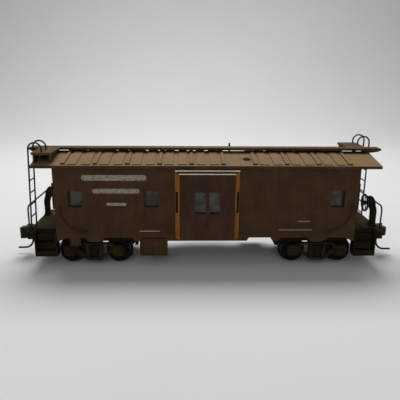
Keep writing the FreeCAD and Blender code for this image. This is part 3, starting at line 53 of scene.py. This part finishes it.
class Graph:
    """Short calls for building one material's nodes."""

    def __init__(self, name):
        self.material = bpy.data.materials.new(name)
        self.material.use_nodes = True
        self.tree = self.material.node_tree
        self.tree.nodes.clear()
        self.place = self.node("ShaderNodeTexCoord").outputs["Object"]
        self.height = self.split(self.place)["Z"]

    def node(self, kind, **settings):
        made = self.tree.nodes.new(kind)
        for key, value in settings.items():
            setattr(made, key, value)
        return made

    def feed(self, source, target):
        """Links a socket to an input, or sets the input to a plain value."""
        if isinstance(source, bpy.types.NodeSocket):
            self.tree.links.new(source, target)
        else:
            target.default_value = source

    def split(self, vector):
        parts = self.node("ShaderNodeSeparateXYZ")
        self.feed(vector, parts.inputs[0])
        return parts.outputs

    def noise(self, size_mm, detail=3.0, stretch=(1, 1, 1)):
        """Noise from 0 to 1 whose lumps are about size_mm, times stretch along each axis."""
        mapping = self.node("ShaderNodeMapping")
        self.feed(self.place, mapping.inputs["Vector"])
        mapping.inputs["Scale"].default_value = [1 / (size_mm * MM * along) for along in stretch]
        texture = self.node("ShaderNodeTexNoise")
        self.feed(mapping.outputs[0], texture.inputs["Vector"])
        texture.inputs["Scale"].default_value = 1.0
        texture.inputs["Detail"].default_value = detail
        return texture.outputs["Fac"]

    def ramp(self, value, low, high):
        """0 at low, 1 at high, smooth between."""
        scale = self.node("ShaderNodeMapRange", interpolation_type="SMOOTHSTEP")
        self.feed(value, scale.inputs["Value"])
        scale.inputs["From Min"].default_value = low
        scale.inputs["From Max"].default_value = high
        return scale.outputs["Result"]

    def maths(self, operation, first, second):
        made = self.node("ShaderNodeMath", operation=operation, use_clamp=True)
        self.feed(first, made.inputs[0])
        self.feed(second, made.inputs[1])
        return made.outputs[0]

    def times(self, first, second):
        return self.maths("MULTIPLY", first, second)

    def plus(self, first, second):
        return self.maths("ADD", first, second)

    def mix(self, amount, first, second):
        """Colour between first (amount 0) and second (amount 1)."""
        made = self.node("ShaderNodeMix", data_type="RGBA")
        self.feed(amount, made.inputs["Factor"])
        self.feed(opaque(first), made.inputs[6])
        self.feed(opaque(second), made.inputs[7])
        return made.outputs[2]

    def from_middle(self, axis):
        """Distance from the middle of the car along an axis."""
        return self.maths("ABSOLUTE", self.split(self.place)[axis], 0.0)

    def plastic_grain(self):
        """Fine and coarse unevenness of painted moulded plastic."""
        return self.plus(self.times(self.noise(0.18, 2), 0.6), self.times(self.noise(1.4, 3), 0.4))

    def facing_up(self):
        """1 on surfaces that look up, 0 on walls."""
        normal = self.node("ShaderNodeNewGeometry").outputs["Normal"]
        return self.ramp(self.split(normal)["Z"], 0.35, 0.9)

    def edges(self, radius_mm):
        """1 near sharp outer edges."""
        rounded = self.node("ShaderNodeBevel", samples=4)
        rounded.inputs["Radius"].default_value = radius_mm * MM
        dot = self.node("ShaderNodeVectorMath", operation="DOT_PRODUCT")
        self.feed(rounded.outputs[0], dot.inputs[0])
        self.feed(self.node("ShaderNodeNewGeometry").outputs["Normal"], dot.inputs[1])
        return self.ramp(self.maths("SUBTRACT", 1.0, dot.outputs["Value"]), 0.02, 0.2)

    def crevices(self, distance_mm):
        """1 where the surface is closed in by its neighbours."""
        occlusion = self.node("ShaderNodeAmbientOcclusion", samples=4)
        occlusion.inputs["Distance"].default_value = distance_mm * MM
        return self.ramp(self.maths("SUBTRACT", 1.0, occlusion.outputs["AO"]), 0.25, 0.9)

    def bump(self, height, depth_mm):
        made = self.node("ShaderNodeBump")
        made.inputs["Distance"].default_value = depth_mm * MM
        made.inputs["Strength"].default_value = 1.0
        self.feed(height, made.inputs["Height"])
        return made.outputs[0]

    def surface(self, colour, rough, normal, metal=0.0, shine=0.35):
        shader = self.node("ShaderNodeBsdfPrincipled")
        self.feed(opaque(colour), shader.inputs["Base Color"])
        self.feed(rough, shader.inputs["Roughness"])
        self.feed(normal, shader.inputs["Normal"])
        shader.inputs["Metallic"].default_value = metal
        shader.inputs["Specular IOR Level"].default_value = shine
        return shader.outputs[0]

    def output(self, shader):
        self.feed(shader, self.node("ShaderNodeOutputMaterial").inputs["Surface"])
        return self.material


def opaque(colour):
    return (*colour, 1.0) if isinstance(colour, tuple) and len(colour) == 3 else colour


# ---- Finishes -----------------------------------------------------------------

DUST = (0.30, 0.215, 0.135)
UMBER = (0.20, 0.125, 0.062)
# Near black for grime and for painted shade in hollows, window reveals, bay slots and along window sills.
GRIME_AND_SHADE = (0.008, 0.006, 0.004)
RUST = (0.105, 0.042, 0.012)


def weathered(name, base, tone, dust=DUST, top=0.5, wall=0.12, wear=0.35, worn=(0.22, 0.15, 0.09),
              sill=None, streaks=0.35, rough=0.78, grain=0.012, metal=0.0, shine=0.2, hollow=0.9,
              soot_and_shade=0.75, settle=(1.6, (1, 1, 1)), bare=0.15, shaded_openings=False):
    """Flat paint on moulded plastic: two tones, streaks down the walls, dust, worn edges and painted shade.

    top and wall are how much dust lies on surfaces that look up and on walls. sill is a pair
    of heights in mm: rusty dirt is full below the first and gone above the second. hollow is
    how near, in mm, a neighbouring surface has to be for a surface to darken, and soot is how
    dark it gets: real grime and painted shade. settle is the size and stretch of the bare spots
    in the dust on top, bare how many there are. openings paints shade on what lies behind the
    side walls' outer faces, in the window reveals.
    """
    graph = Graph(name)
    blotches = graph.ramp(graph.noise(7, 4), 0.35, 0.68)
    colour = graph.mix(blotches, base, tone)
    runs = graph.ramp(graph.noise(1.1, 3, (1, 1, 14)), 0.45, 0.75)
    colour = graph.mix(graph.times(runs, streaks), colour, tuple(part * 0.55 for part in base))
    pale_runs = graph.ramp(graph.noise(0.8, 3, (1, 1, 18)), 0.55, 0.8)
    colour = graph.mix(graph.times(pale_runs, wall), colour, dust)
    speckle = graph.ramp(graph.noise(0.5, 2), 0.4, 0.75)
    film = graph.times(graph.ramp(graph.noise(4, 5), 0.3, 0.75), wall)
    colour = graph.mix(film, colour, dust)
    if sill:
        rise = graph.ramp(graph.height, sill[1] * MM, sill[0] * MM)
        splash = graph.times(rise, graph.ramp(graph.noise(2.2, 4, (1, 1, 2.5)), 0.25, 0.7))
        colour = graph.mix(graph.times(splash, 0.5), colour, RUST)
    covered = graph.ramp(graph.noise(settle[0], 5, settle[1]), bare, bare + 0.45)
    settled = graph.times(graph.facing_up(), covered)
    colour = graph.mix(graph.times(settled, top), colour, dust)
    chips = graph.times(graph.edges(0.16), graph.ramp(graph.noise(0.9, 4), 0.42, 0.6))
    colour = graph.mix(graph.times(chips, wear), colour, worn)
    # Painted shade, with some real grime, where neighbouring surfaces close in.
    colour = graph.mix(graph.times(graph.crevices(hollow), soot_and_shade), colour, GRIME_AND_SHADE)
    # Painted shade in the window reveals, behind the side walls' outer faces and away from the ends.
    if shaded_openings:
        within = graph.ramp(graph.from_middle("X"), 59.0 * MM, 58.7 * MM)
        behind = graph.times(graph.ramp(graph.from_middle("Y"), 15.33 * MM, 15.1 * MM), within)
        colour = graph.mix(graph.times(behind, 0.85), colour, GRIME_AND_SHADE)
    roughness = graph.plus(graph.times(speckle, 0.12), rough)
    relief = graph.bump(graph.plastic_grain(), grain)
    return graph.output(graph.surface(colour, roughness, relief, metal, shine))


def bay_finish():
    """Dark face, faded orange slanted ends, pale chalky lips with a painted highlight, and painted shade in
    corners and end slots.
    """
    graph = Graph("bay_finish")
    along, across = graph.from_middle("X"), graph.from_middle("Y")
    blotches = graph.ramp(graph.noise(6, 4), 0.35, 0.68)
    brown = graph.mix(blotches, (0.036, 0.0145, 0.0080), (0.054, 0.0235, 0.0120))
    film = graph.times(graph.ramp(graph.noise(2.5, 5, (1, 1, 3)), 0.35, 0.75), 0.07)
    brown = graph.mix(film, brown, UMBER)
    low = graph.ramp(graph.height, 30 * MM, 14 * MM)
    splash = graph.times(low, graph.ramp(graph.noise(3, 4, (1, 1, 2)), 0.2, 0.7))
    brown = graph.mix(graph.times(splash, 0.4), brown, (0.092, 0.044, 0.021))
    normal = graph.split(graph.node("ShaderNodeNewGeometry").outputs["Normal"])
    sideways = graph.ramp(graph.maths("ABSOLUTE", normal["X"], 0.0), 0.3, 0.6)
    outside = graph.ramp(across, 15.3 * MM, 15.45 * MM)
    fading = graph.ramp(graph.noise(1.5, 4, (1, 1, 4)), 0.3, 0.7)
    faded = graph.mix(fading, (0.28, 0.100, 0.016), (0.38, 0.155, 0.032))
    colour = graph.mix(graph.times(sideways, outside), brown, faded)
    rubbed = graph.times(graph.edges(0.22), graph.ramp(graph.noise(0.8, 4), 0.35, 0.6))
    colour = graph.mix(graph.times(rubbed, 0.6), colour, (0.36, 0.18, 0.06))
    # Pale chalky lips along the bay's top edges, made brighter as a painted highlight where they catch the
    # light.
    upper_lip = graph.ramp(graph.height, 39.62 * MM, 39.7 * MM)
    high = graph.ramp(graph.height, 38.8 * MM, 38.95 * MM)
    front_lip = graph.times(graph.ramp(across, 17.25 * MM, 17.35 * MM), high)
    chalk_and_highlight = graph.times(graph.plus(upper_lip, front_lip), graph.plus(graph.noise(1.2, 4), 0.45))
    colour = graph.mix(chalk_and_highlight, colour, (0.95, 0.76, 0.54))
    # Painted shade, with some grime, in the bay's corners.
    colour = graph.mix(graph.times(graph.crevices(0.8), 0.75), colour, GRIME_AND_SHADE)
    # Painted shade: the slots in the slanted ends are darkened to near black, as their inside lies in shade.
    slant = graph.plus(along, graph.times(across, 0.75))
    behind_face = graph.ramp(across, 17.74 * MM, 17.66 * MM)
    inside = graph.times(graph.ramp(slant, 24.05 * MM, 23.95 * MM), behind_face)
    inside = graph.times(inside, graph.ramp(graph.height, 38.6 * MM, 38.5 * MM))
    colour = graph.mix(graph.times(inside, 0.9), colour, GRIME_AND_SHADE)
    relief = graph.bump(graph.plastic_grain(), 0.012)
    return graph.output(graph.surface(colour, 0.74, relief, shine=0.2))


def wheel_finish():
    """Blackened steel: rubbed edges with a painted highlight on the rims, dull dusty faces."""
    graph = Graph("wheel_finish")
    patches = graph.ramp(graph.noise(1.2, 4), 0.35, 0.7)
    steel = graph.mix(patches, (0.0050, 0.0048, 0.0046), (0.0120, 0.0100, 0.0085))
    normal = graph.split(graph.node("ShaderNodeNewGeometry").outputs["True Normal"])
    face = graph.ramp(graph.maths("ABSOLUTE", normal["Y"], 0.0), 0.5, 0.95)
    dusty = graph.times(face, graph.ramp(graph.noise(0.9, 4), 0.35, 0.7))
    colour = graph.mix(graph.times(dusty, 0.2), steel, (0.040, 0.026, 0.013))
    # Rubbed steel and a painted highlight along the rim edges.
    colour = graph.mix(graph.times(graph.edges(0.14), 0.55), colour, (0.26, 0.25, 0.24))
    relief = graph.bump(graph.noise(0.25, 3), 0.01)
    return graph.output(graph.surface(colour, graph.plus(graph.times(face, 0.3), 0.42), relief, metal=0.55))


def wire_finish():
    """Blackened wire with dust and bare spots."""
    graph = Graph("wire_finish")
    patches = graph.ramp(graph.noise(1.6, 3), 0.4, 0.7)
    colour = graph.mix(patches, (0.0045, 0.0042, 0.0040), (0.0130, 0.0100, 0.0070))
    bare = graph.ramp(graph.noise(0.7, 3), 0.66, 0.78)
    colour = graph.mix(graph.times(bare, 0.4), colour, (0.22, 0.19, 0.16))
    return graph.output(graph.surface(colour, 0.5, graph.bump(graph.noise(0.2, 2), 0.006), metal=0.3))


def metal_finish(name, colour, tarnish, rough):
    """Bare metal with tarnish."""
    graph = Graph(name)
    shade = graph.mix(graph.ramp(graph.noise(1.8, 4), 0.35, 0.7), colour, tarnish)
    bright = tuple(min(1.0, part * 1.8) for part in colour)
    shade = graph.mix(graph.times(graph.edges(0.2), 0.4), shade, bright)
    return graph.output(graph.surface(shade, rough, graph.bump(graph.noise(0.15, 2), 0.006), metal=0.85))


def clear_finish(name, sill, shades=(), film=((0.020, 0.022, 0.016), (0.066, 0.066, 0.052))):
    """Dusty clear plastic: a thin film over see-through plastic.

    sill is the height in mm of the bottom of the opening in front; a painted shadow line runs above it.
    shades are the stretches, in mm from the car's middle, where painted shade stands for the opening's edge.
    """
    graph = Graph(name)
    patches = graph.ramp(graph.noise(3.2, 2), 0.32, 0.68)
    film_colour = graph.mix(patches, *film)
    low_dust = graph.ramp(graph.noise(1.4, 3), 0.45, 0.8)
    film_colour = graph.mix(graph.times(low_dust, 0.3), film_colour, (0.10, 0.085, 0.055))
    # Painted shade: a dark line just above the sill and along the given stretches of the opening's edge.
    shaded = graph.ramp(graph.height, (sill + 0.75) * MM, (sill + 0.5) * MM)
    along, soft = graph.from_middle("X"), 0.3
    for near, far in shades:
        begun = graph.ramp(along, near * MM, (near + soft) * MM)
        shaded = graph.plus(shaded, graph.times(begun, graph.ramp(along, far * MM, (far - soft) * MM)))
    film_colour = graph.mix(graph.times(shaded, 0.95), film_colour, GRIME_AND_SHADE)
    coat = graph.surface(film_colour, 0.3, graph.bump(graph.noise(2.5, 1), 0.02), shine=0.4)
    clear = graph.node("ShaderNodeBsdfTransparent")
    clear.inputs["Color"].default_value = (0.60, 0.64, 0.58, 1.0)
    blend = graph.node("ShaderNodeMixShader")
    graph.feed(graph.plus(graph.times(patches, 0.12), 0.80), blend.inputs[0])
    graph.feed(clear.outputs[0], blend.inputs[1])
    graph.feed(coat, blend.inputs[2])
    return graph.output(blend.outputs[0])


def stripe_finish():
    """Chalky pale paint, thin enough that the brown shows through."""
    graph = Graph("stripe_finish")
    thin = graph.ramp(graph.noise(0.9, 5), 0.30, 0.62)
    colour = graph.mix(thin, (0.20, 0.150, 0.105), (0.37, 0.305, 0.235))
    colour = graph.mix(graph.ramp(graph.noise(0.5, 4, (1, 1, 6)), 0.6, 0.8), colour, (0.12, 0.08, 0.05))
    return graph.output(graph.surface(colour, 0.8, graph.bump(graph.noise(0.2, 2), 0.006)))


PAINT = ((0.051, 0.0235, 0.0088), (0.072, 0.034, 0.0135))
FINISHES = {
    # The body gets painted shade in its window reveals as well as in its crevices.
    "body": weathered("body_finish", *PAINT, sill=(11.5, 16.5), top=0.6, wall=0.06, dust=UMBER,
                      shaded_openings=True),
    "bay": bay_finish(),
    "roof": weathered("roof_finish", (0.052, 0.027, 0.013), (0.072, 0.040, 0.020), dust=(0.235, 0.150, 0.070),
                      top=0.97, wall=0.0, wear=0.12, streaks=0.3, worn=(0.22, 0.14, 0.08), hollow=2.5,
                      settle=(1.3, (1, 9, 9)), bare=0.0),
    # The walk's wide hollow and strong darkening paint deep shade under the running board and roof platforms,
    # with some grime.
    "walk": weathered("walk_finish", (0.050, 0.029, 0.015), (0.085, 0.052, 0.027), dust=(0.205, 0.128, 0.062),
                      top=0.85, wall=0.05, wear=0.4, streaks=0.2, worn=(0.26, 0.17, 0.10), hollow=9.0,
                      soot_and_shade=0.97, settle=(2.5, (2, 1, 1)), bare=0.05),
    "rail": weathered("rail_finish", (0.034, 0.016, 0.007), (0.050, 0.024, 0.010), top=0.2, wall=0.03,
                      dust=UMBER),
    "deck": weathered("deck_finish", (0.0100, 0.0070, 0.0025), (0.0200, 0.0140, 0.0055), top=0.45, wall=0.05,
                      wear=0.4, worn=(0.13, 0.095, 0.045), dust=(0.12, 0.078, 0.029), hollow=2.5, shine=0.12),
    "frame": weathered("frame_finish", (0.0090, 0.0060, 0.0030), (0.0160, 0.0110, 0.0050), top=0.3, wall=0.05,
                       dust=UMBER, hollow=3.0, shine=0.12),
    "truck": weathered("truck_finish", (0.0095, 0.0068, 0.0020), (0.0220, 0.0155, 0.0046), top=0.6, wall=0.20,
                       wear=0.6, worn=(0.15, 0.11, 0.045), dust=(0.115, 0.080, 0.027), hollow=1.6, shine=0.2),
    "box": weathered("box_finish", (0.045, 0.021, 0.0075), (0.068, 0.033, 0.0125), top=0.5, wall=0.06,
                     dust=UMBER),
    "coupler": weathered("coupler_finish", (0.012, 0.0085, 0.0035), (0.026, 0.0180, 0.0075), top=0.4,
                         wall=0.12, wear=0.5, worn=(0.16, 0.115, 0.060), dust=(0.11, 0.078, 0.036),
                         metal=0.3, rough=0.6),
    "spring": weathered("spring_finish", (0.0065, 0.0042, 0.0018), (0.0130, 0.0080, 0.0035), top=0.7,
                        wall=0.05, wear=0.5, worn=(0.12, 0.080, 0.032), dust=(0.115, 0.080, 0.027),
                        hollow=1.2, shine=0.15),
    "wheel": wheel_finish(),
    "wire": wire_finish(),
    "steel": metal_finish("steel_finish", (0.42, 0.41, 0.40), (0.22, 0.20, 0.18), 0.38),
    "bronze": metal_finish("bronze_finish", (0.50, 0.30, 0.12), (0.24, 0.14, 0.07), 0.35),
    "clear": clear_finish("clear_finish", sill=25.4, shades=((23.3, 27.0), (52.6, 57.0)),
                          film=((0.024, 0.021, 0.013), (0.068, 0.060, 0.040))),
    "bay_clear": clear_finish("bay_clear_finish", sill=23.4),
    "door_clear": clear_finish("door_clear_finish", sill=28.7),
    "stripe": stripe_finish(),
}

# Start of a CAD node's name: its finish and the width in mm of the bevel on its edges.
NODE_LOOKS = {
    "body_shell": ("body", 0.14),
    "bay_window": ("bay", 0.12),
    "roof_platform": ("walk", 0.06),
    "roof": ("roof", 0.10),
    "running_board": ("walk", 0.06),
    "ladder": ("wire", 0),
    "end_railing": ("wire", 0),
    "side_handrails": ("rail", 0),
    "end_grab_irons": ("wire", 0),
    "vent_pipe": ("wire", 0),
    "brake_wheel": ("wire", 0),
    "brake_stand": ("deck", 0.12),
    "end_platform": ("deck", 0.08),
    "draft_gear": ("frame", 0.10),
    "underframe": ("frame", 0.10),
    "battery_box": ("box", 0.15),
    "equipment_box": ("box", 0.10),
    "truck_bolster": ("frame", 0.12),
    "sideframe": ("truck", 0.16),
    "leaf_springs": ("spring", 0.05),
    "axle": ("wheel", 0),
    "wheels": ("wheel", 0),
    "coupler_shank": ("coupler", 0.14),
    "knuckle": ("coupler", 0.16),
    "trip_pin": ("wire", 0),
    "ballast_weight": ("steel", 0.15),
    "coupler_screws": ("steel", 0.08),
    "kingpin_screws": ("steel", 0.08),
    "centering_springs": ("bronze", 0),
    "side_glazing": ("clear", 0),
    "bay_glazing": ("bay_clear", 0),
    "door_glazing": ("door_clear", 0),
}


def dress_cad_nodes():
    """Gives every CAD node its finish, and a small bevel where its edges are hard."""
    for name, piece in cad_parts.items():
        start = max((key for key in NODE_LOOKS if name.startswith(key)), key=len)
        finish, bevel = NODE_LOOKS[start]
        piece.data.materials.clear()
        piece.data.materials.append(FINISHES[finish])
        if bevel:
            soften(piece, bevel)


def soften(piece, width_mm):
    """Joins the split edges, bevels the hard ones and shades the flats flat."""
    weld = piece.modifiers.new("join", "WELD")
    weld.merge_threshold = 0.002 * MM
    bevel = piece.modifiers.new("soft_edges", "BEVEL")
    bevel.width = width_mm * MM
    bevel.segments = 2
    bevel.limit_method = "ANGLE"
    bevel.angle_limit = math.radians(35)
    bevel.use_clamp_overlap = True
    normals = piece.modifiers.new("flat_faces", "WEIGHTED_NORMAL")
    normals.keep_sharp = False


# ---- Mesh pieces --------------------------------------------------------------


def finish_piece(name, mesh, finish):
    """Makes an object of a bmesh in the model's frame and lets it ride on the car body."""
    data = bpy.data.meshes.new(name)
    mesh.to_mesh(data)
    mesh.free()
    data.materials.append(FINISHES[finish])
    for polygon in data.polygons:
        polygon.use_smooth = True
    data.set_sharp_from_angle(angle=math.radians(40))
    piece = bpy.data.objects.new(name, data)
    bpy.context.scene.collection.objects.link(piece)
    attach(piece, "car_body")


def half_turn(mesh):
    """Turns a mesh to the opposite end and side of the car."""
    bmesh.ops.rotate(mesh, verts=mesh.verts, cent=(0, 0, 0), matrix=Matrix.Rotation(math.pi, 3, "Z"))


def add_slab(mesh, low, high, chamfer=0.0):
    """A block between two corners in mm, its top edges chamfered."""
    (x0, y0, z0), (x1, y1, z1) = low, high
    rings = [(0.0, z0), (0.0, z1 - chamfer), (chamfer, z1)] if chamfer else [(0.0, z0), (0.0, z1)]
    levels = []
    for inset, z in rings:
        left, right, near, far = x0 + inset, x1 - inset, y0 + inset, y1 - inset
        corners = [(left, near), (right, near), (right, far), (left, far)]
        levels.append([mesh.verts.new(Vector((x, y, z)) * MM) for x, y in corners])
    for lower, upper in zip(levels, levels[1:]):
        for i in range(4):
            mesh.faces.new((lower[i], lower[(i + 1) % 4], upper[(i + 1) % 4], upper[i]))
    mesh.faces.new(levels[-1])
    mesh.faces.new(levels[0][::-1])


def add_dome(mesh, centre, normal, radius, height, sides=8):
    """A low rivet head: a ring on the surface, a smaller ring and a cap."""
    normal = Vector(normal).normalized()
    across = normal.orthogonal().normalized()
    along = normal.cross(across)
    centre = Vector(centre)
    rings = []
    for share, rise in ((1.0, -0.05), (0.92, 0.35), (0.55, 0.85)):
        ring = []
        for i in range(sides):
            angle = 2 * math.pi * i / sides
            offset = across * math.cos(angle) + along * math.sin(angle)
            ring.append(mesh.verts.new((centre + offset * radius * share + normal * height * rise) * MM))
        rings.append(ring)
    tip = mesh.verts.new((centre + normal * height) * MM)
    for lower, upper in zip(rings, rings[1:]):
        for i in range(sides):
            mesh.faces.new((lower[i], lower[(i + 1) % sides], upper[(i + 1) % sides], upper[i]))
    for i in range(sides):
        mesh.faces.new((rings[-1][i], rings[-1][(i + 1) % sides], tip))
    mesh.faces.new(rings[0][::-1])


def node_box(name):
    """The lowest and highest corners of a CAD node in mm."""
    low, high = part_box(name)
    return low / MM, high / MM


def grating(mesh, low, high, pitch=1.0, bar=0.5, rail=0.25, rise=0.2):
    """Cross treads and edge rails on top of a walk between two corners in mm."""
    top = high.z
    for y0, y1 in ((low.y, low.y + rail), (high.y - rail, high.y)):
        add_slab(mesh, (low.x, y0, top - SUNK), (high.x, y1, top + rise * 0.8), 0.03)
    count = int((high.x - low.x - bar) / pitch)
    start = (low.x + high.x - count * pitch - bar) / 2
    for number in range(count + 1):
        x = start + number * pitch
        add_slab(mesh, (x, low.y + rail, top - SUNK), (x + bar, high.y - rail, top + rise), 0.04)


def walk_treads():
    """Raised cross treads on the running board and both roof platforms."""
    for name in ("running_board", "roof_platform_left", "roof_platform_right"):
        mesh = bmesh.new()
        grating(mesh, *node_box(name))
        finish_piece(f"{name}_treads", mesh, "walk")


def side_rivets():
    """Rows of rivets beside each panel seam and along the lengthwise seam."""
    low, high = node_box("body_shell")
    bay_low, bay_high = node_box("bay_window_front")
    seams, seam_level = (27.5, 42.5), 14.9
    pitch, radius, rise, sides = 1.35, 0.17, 0.09, 6
    for side, name in ((-1, "front"), (1, "back")):
        mesh = bmesh.new()
        y = side * high.y
        for seam in seams:
            for x in (seam, -seam):
                for offset in (-0.75, 0.75):
                    z = seam_level + 1.2
                    while z < high.z - 0.8:
                        add_dome(mesh, (x + offset, y, z), (0, side, 0), radius, rise, sides)
                        z += pitch
        x = low.x + 1.5
        while x < high.x - 1.0:
            if not bay_low.x - 0.6 < x < bay_high.x + 0.6:
                add_dome(mesh, (x, y, seam_level - 0.7), (0, side, 0), radius, rise, sides)
            x += pitch
        finish_piece(f"side_rivets_{name}", mesh, "body")


def door_trims():
    """A raised frame round each end door and its pane, two hinges, a kick plate and a knob."""
    deck = node_box("end_platform_right")[1].z
    wall = node_box("body_shell")[1].x
    recess = wall - 0.3
    # Half widths inside and outside, bottom, top, the face under it and how far it stands out.
    frames = (
        (3.5, 4.1, deck, 37.8, wall, 0.25),
        (1.7, 2.1, 28.7, 34.2, recess, 0.2),
    )
    for end, name in ((-1, "left"), (1, "right")):
        mesh = bmesh.new()
        for inner, outer, bottom, top, face, proud in frames:
            band = outer - inner
            for side in (-1, 1):
                y0, y1 = sorted((side * inner, side * outer))
                add_slab(mesh, (face - SUNK, y0, bottom), (face + proud, y1, top))
            add_slab(mesh, (face - SUNK, -outer, top), (face + proud, outer, top + band))
            if face == recess:
                add_slab(mesh, (face - SUNK, -outer, bottom - band), (face + proud, outer, bottom))
        add_slab(mesh, (recess - SUNK, -3.2, deck + 0.4), (recess + 0.1, 3.2, deck + 3.0))
        for hinge_z in (deck + 4.5, 35.5):
            add_slab(mesh, (recess - SUNK, 2.4, hinge_z), (recess + 0.22, 3.4, hinge_z + 0.9))
        add_dome(mesh, (recess, -2.7, 26.6), (1, 0, 0), 0.4, 0.5, 8)
        if end < 0:
            half_turn(mesh)
        finish_piece(f"end_door_trim_{name}", mesh, "rail")


def add_bar(mesh, x0, x1, z0, z1, y, thickness=0.05):
    """A flat painted bar with rounded ends, on the front side wall, in mm."""
    radius = (z1 - z0) / 2
    middle = (z0 + z1) / 2
    outline = []
    for centre_x, start in ((x1 - radius, -90), (x0 + radius, 90)):
        for step in range(9):
            angle = math.radians(start + 180 * step / 8)
            outline.append((centre_x + radius * math.cos(angle), middle + radius * math.sin(angle)))
    back = [mesh.verts.new(Vector((x, y + SUNK, z)) * MM) for x, z in outline]
    front = [mesh.verts.new(Vector((x, y - thickness, z)) * MM) for x, z in outline]
    mesh.faces.new(front)
    mesh.faces.new(back[::-1])
    for i in range(len(outline)):
        j = (i + 1) % len(outline)
        mesh.faces.new((front[j], front[i], back[i], back[j]))


def side_stripes():
    """Plain pale bars on both sides where a railway would letter its car."""
    wall = node_box("body_shell")[1].y
    # Left end, right end, bottom and top.
    bars = (
        (-48.2, -23.4, 36.0, 38.2), (-44.2, -26.2, 31.0, 32.8),
        (-39.2, -31.4, 26.0, 27.2), (-26.6, -18.5, 15.4, 15.8),
        (35.9, 40.7, 19.4, 19.8), (28.4, 42.0, 15.9, 16.25),
    )
    for side in (-1, 1):
        mesh = bmesh.new()
        for x0, x1, z0, z1 in bars:
            add_bar(mesh, x0, x1, z0, z1, -wall)
        if side > 0:
            half_turn(mesh)
        finish_piece(f"side_stripes_{'back' if side > 0 else 'front'}", mesh, "stripe")


# ---- Studio -------------------------------------------------------------------


def camera():
    """The viewpoint: in front of the car, a little left of its middle, looking slightly down."""
    place = Vector((-7.8, -188.7, 76.2)) * MM
    pitch, yaw, roll = 0.2692, 0.0286, 0.0082  # radians
    forward = Vector((math.sin(yaw) * math.cos(pitch), math.cos(yaw) * math.cos(pitch), -math.sin(pitch)))
    level = Vector((math.cos(yaw), -math.sin(yaw), 0))
    upright = level.cross(forward)
    right = level * math.cos(roll) + upright * math.sin(roll)
    up = upright * math.cos(roll) - level * math.sin(roll)
    lens = bpy.data.cameras.new("camera")
    lens.sensor_width = 36.0
    lens.lens = 41.67
    lens.clip_start = 0.001
    viewer = bpy.data.objects.new("camera", lens)
    viewer.matrix_world = Matrix((
        (right.x, up.x, -forward.x, place.x),
        (right.y, up.y, -forward.y, place.y),
        (right.z, up.z, -forward.z, place.z),
        (0, 0, 0, 1),
    ))
    bpy.context.scene.collection.objects.link(viewer)
    bpy.context.scene.camera = viewer


def sweep():
    """A pale floor that curves up into a back wall."""
    graph = Graph("sweep_finish")
    shade = graph.mix(graph.noise(60, 2), (0.79, 0.79, 0.78), (0.82, 0.82, 0.81))
    finish = graph.output(graph.surface(shade, 0.9, graph.bump(graph.noise(1.0, 2), 0.01)))
    width, front, bend_start, radius, top = 1600, -900, 330, 250, 1200
    bend_steps = 16
    profile = [(front, 0), (bend_start, 0)]
    for step in range(1, bend_steps + 1):
        angle = math.radians(90 * step / bend_steps)
        profile.append((bend_start + radius * math.sin(angle), radius * (1 - math.cos(angle))))
    profile.append((bend_start + radius, top))
    mesh = bmesh.new()
    rows = [[mesh.verts.new(Vector((x, y, z)) * MM) for y, z in profile] for x in (-width, width)]
    for i in range(len(profile) - 1):
        mesh.faces.new((rows[0][i], rows[1][i], rows[1][i + 1], rows[0][i + 1]))
    data = bpy.data.meshes.new("sweep")
    mesh.to_mesh(data)
    mesh.free()
    data.materials.append(finish)
    for polygon in data.polygons:
        polygon.use_smooth = True
    floor = bpy.data.objects.new("sweep", data)
    bpy.context.scene.collection.objects.link(floor)


def soft_light(name, place_mm, target_mm, size_mm, watts):
    """A rectangular lamp aimed at a target."""
    lamp = bpy.data.lights.new(name, "AREA")
    lamp.shape = "RECTANGLE"
    lamp.size, lamp.size_y = (side * MM for side in size_mm)
    lamp.energy = watts
    holder = bpy.data.objects.new(name, lamp)
    place = Vector(place_mm) * MM
    holder.location = place
    holder.rotation_euler = (Vector(target_mm) * MM - place).to_track_quat("-Z", "Y").to_euler()
    bpy.context.scene.collection.objects.link(holder)


def studio():
    """The sweep, a broad light from above and behind, a weak one in front and a grey sky."""
    sweep()
    soft_light("top_light", (-20, 235, 480), (0, 0, 10), (420, 280), 2.3)
    soft_light("front_fill", (-80, -520, 330), (0, 0, 20), (500, 300), 0.42)
    world = bpy.data.worlds.new("studio")
    world.use_nodes = True
    world.node_tree.nodes["Background"].inputs["Color"].default_value = (0.95, 0.96, 1.0, 1.0)
    world.node_tree.nodes["Background"].inputs["Strength"].default_value = 0.23
    bpy.context.scene.world = world
    bpy.context.scene.view_settings.view_transform = "Standard"


# ---- Assembly -----------------------------------------------------------------

dress_cad_nodes()
walk_treads()
side_rivets()
side_stripes()
door_trims()
camera()
studio()
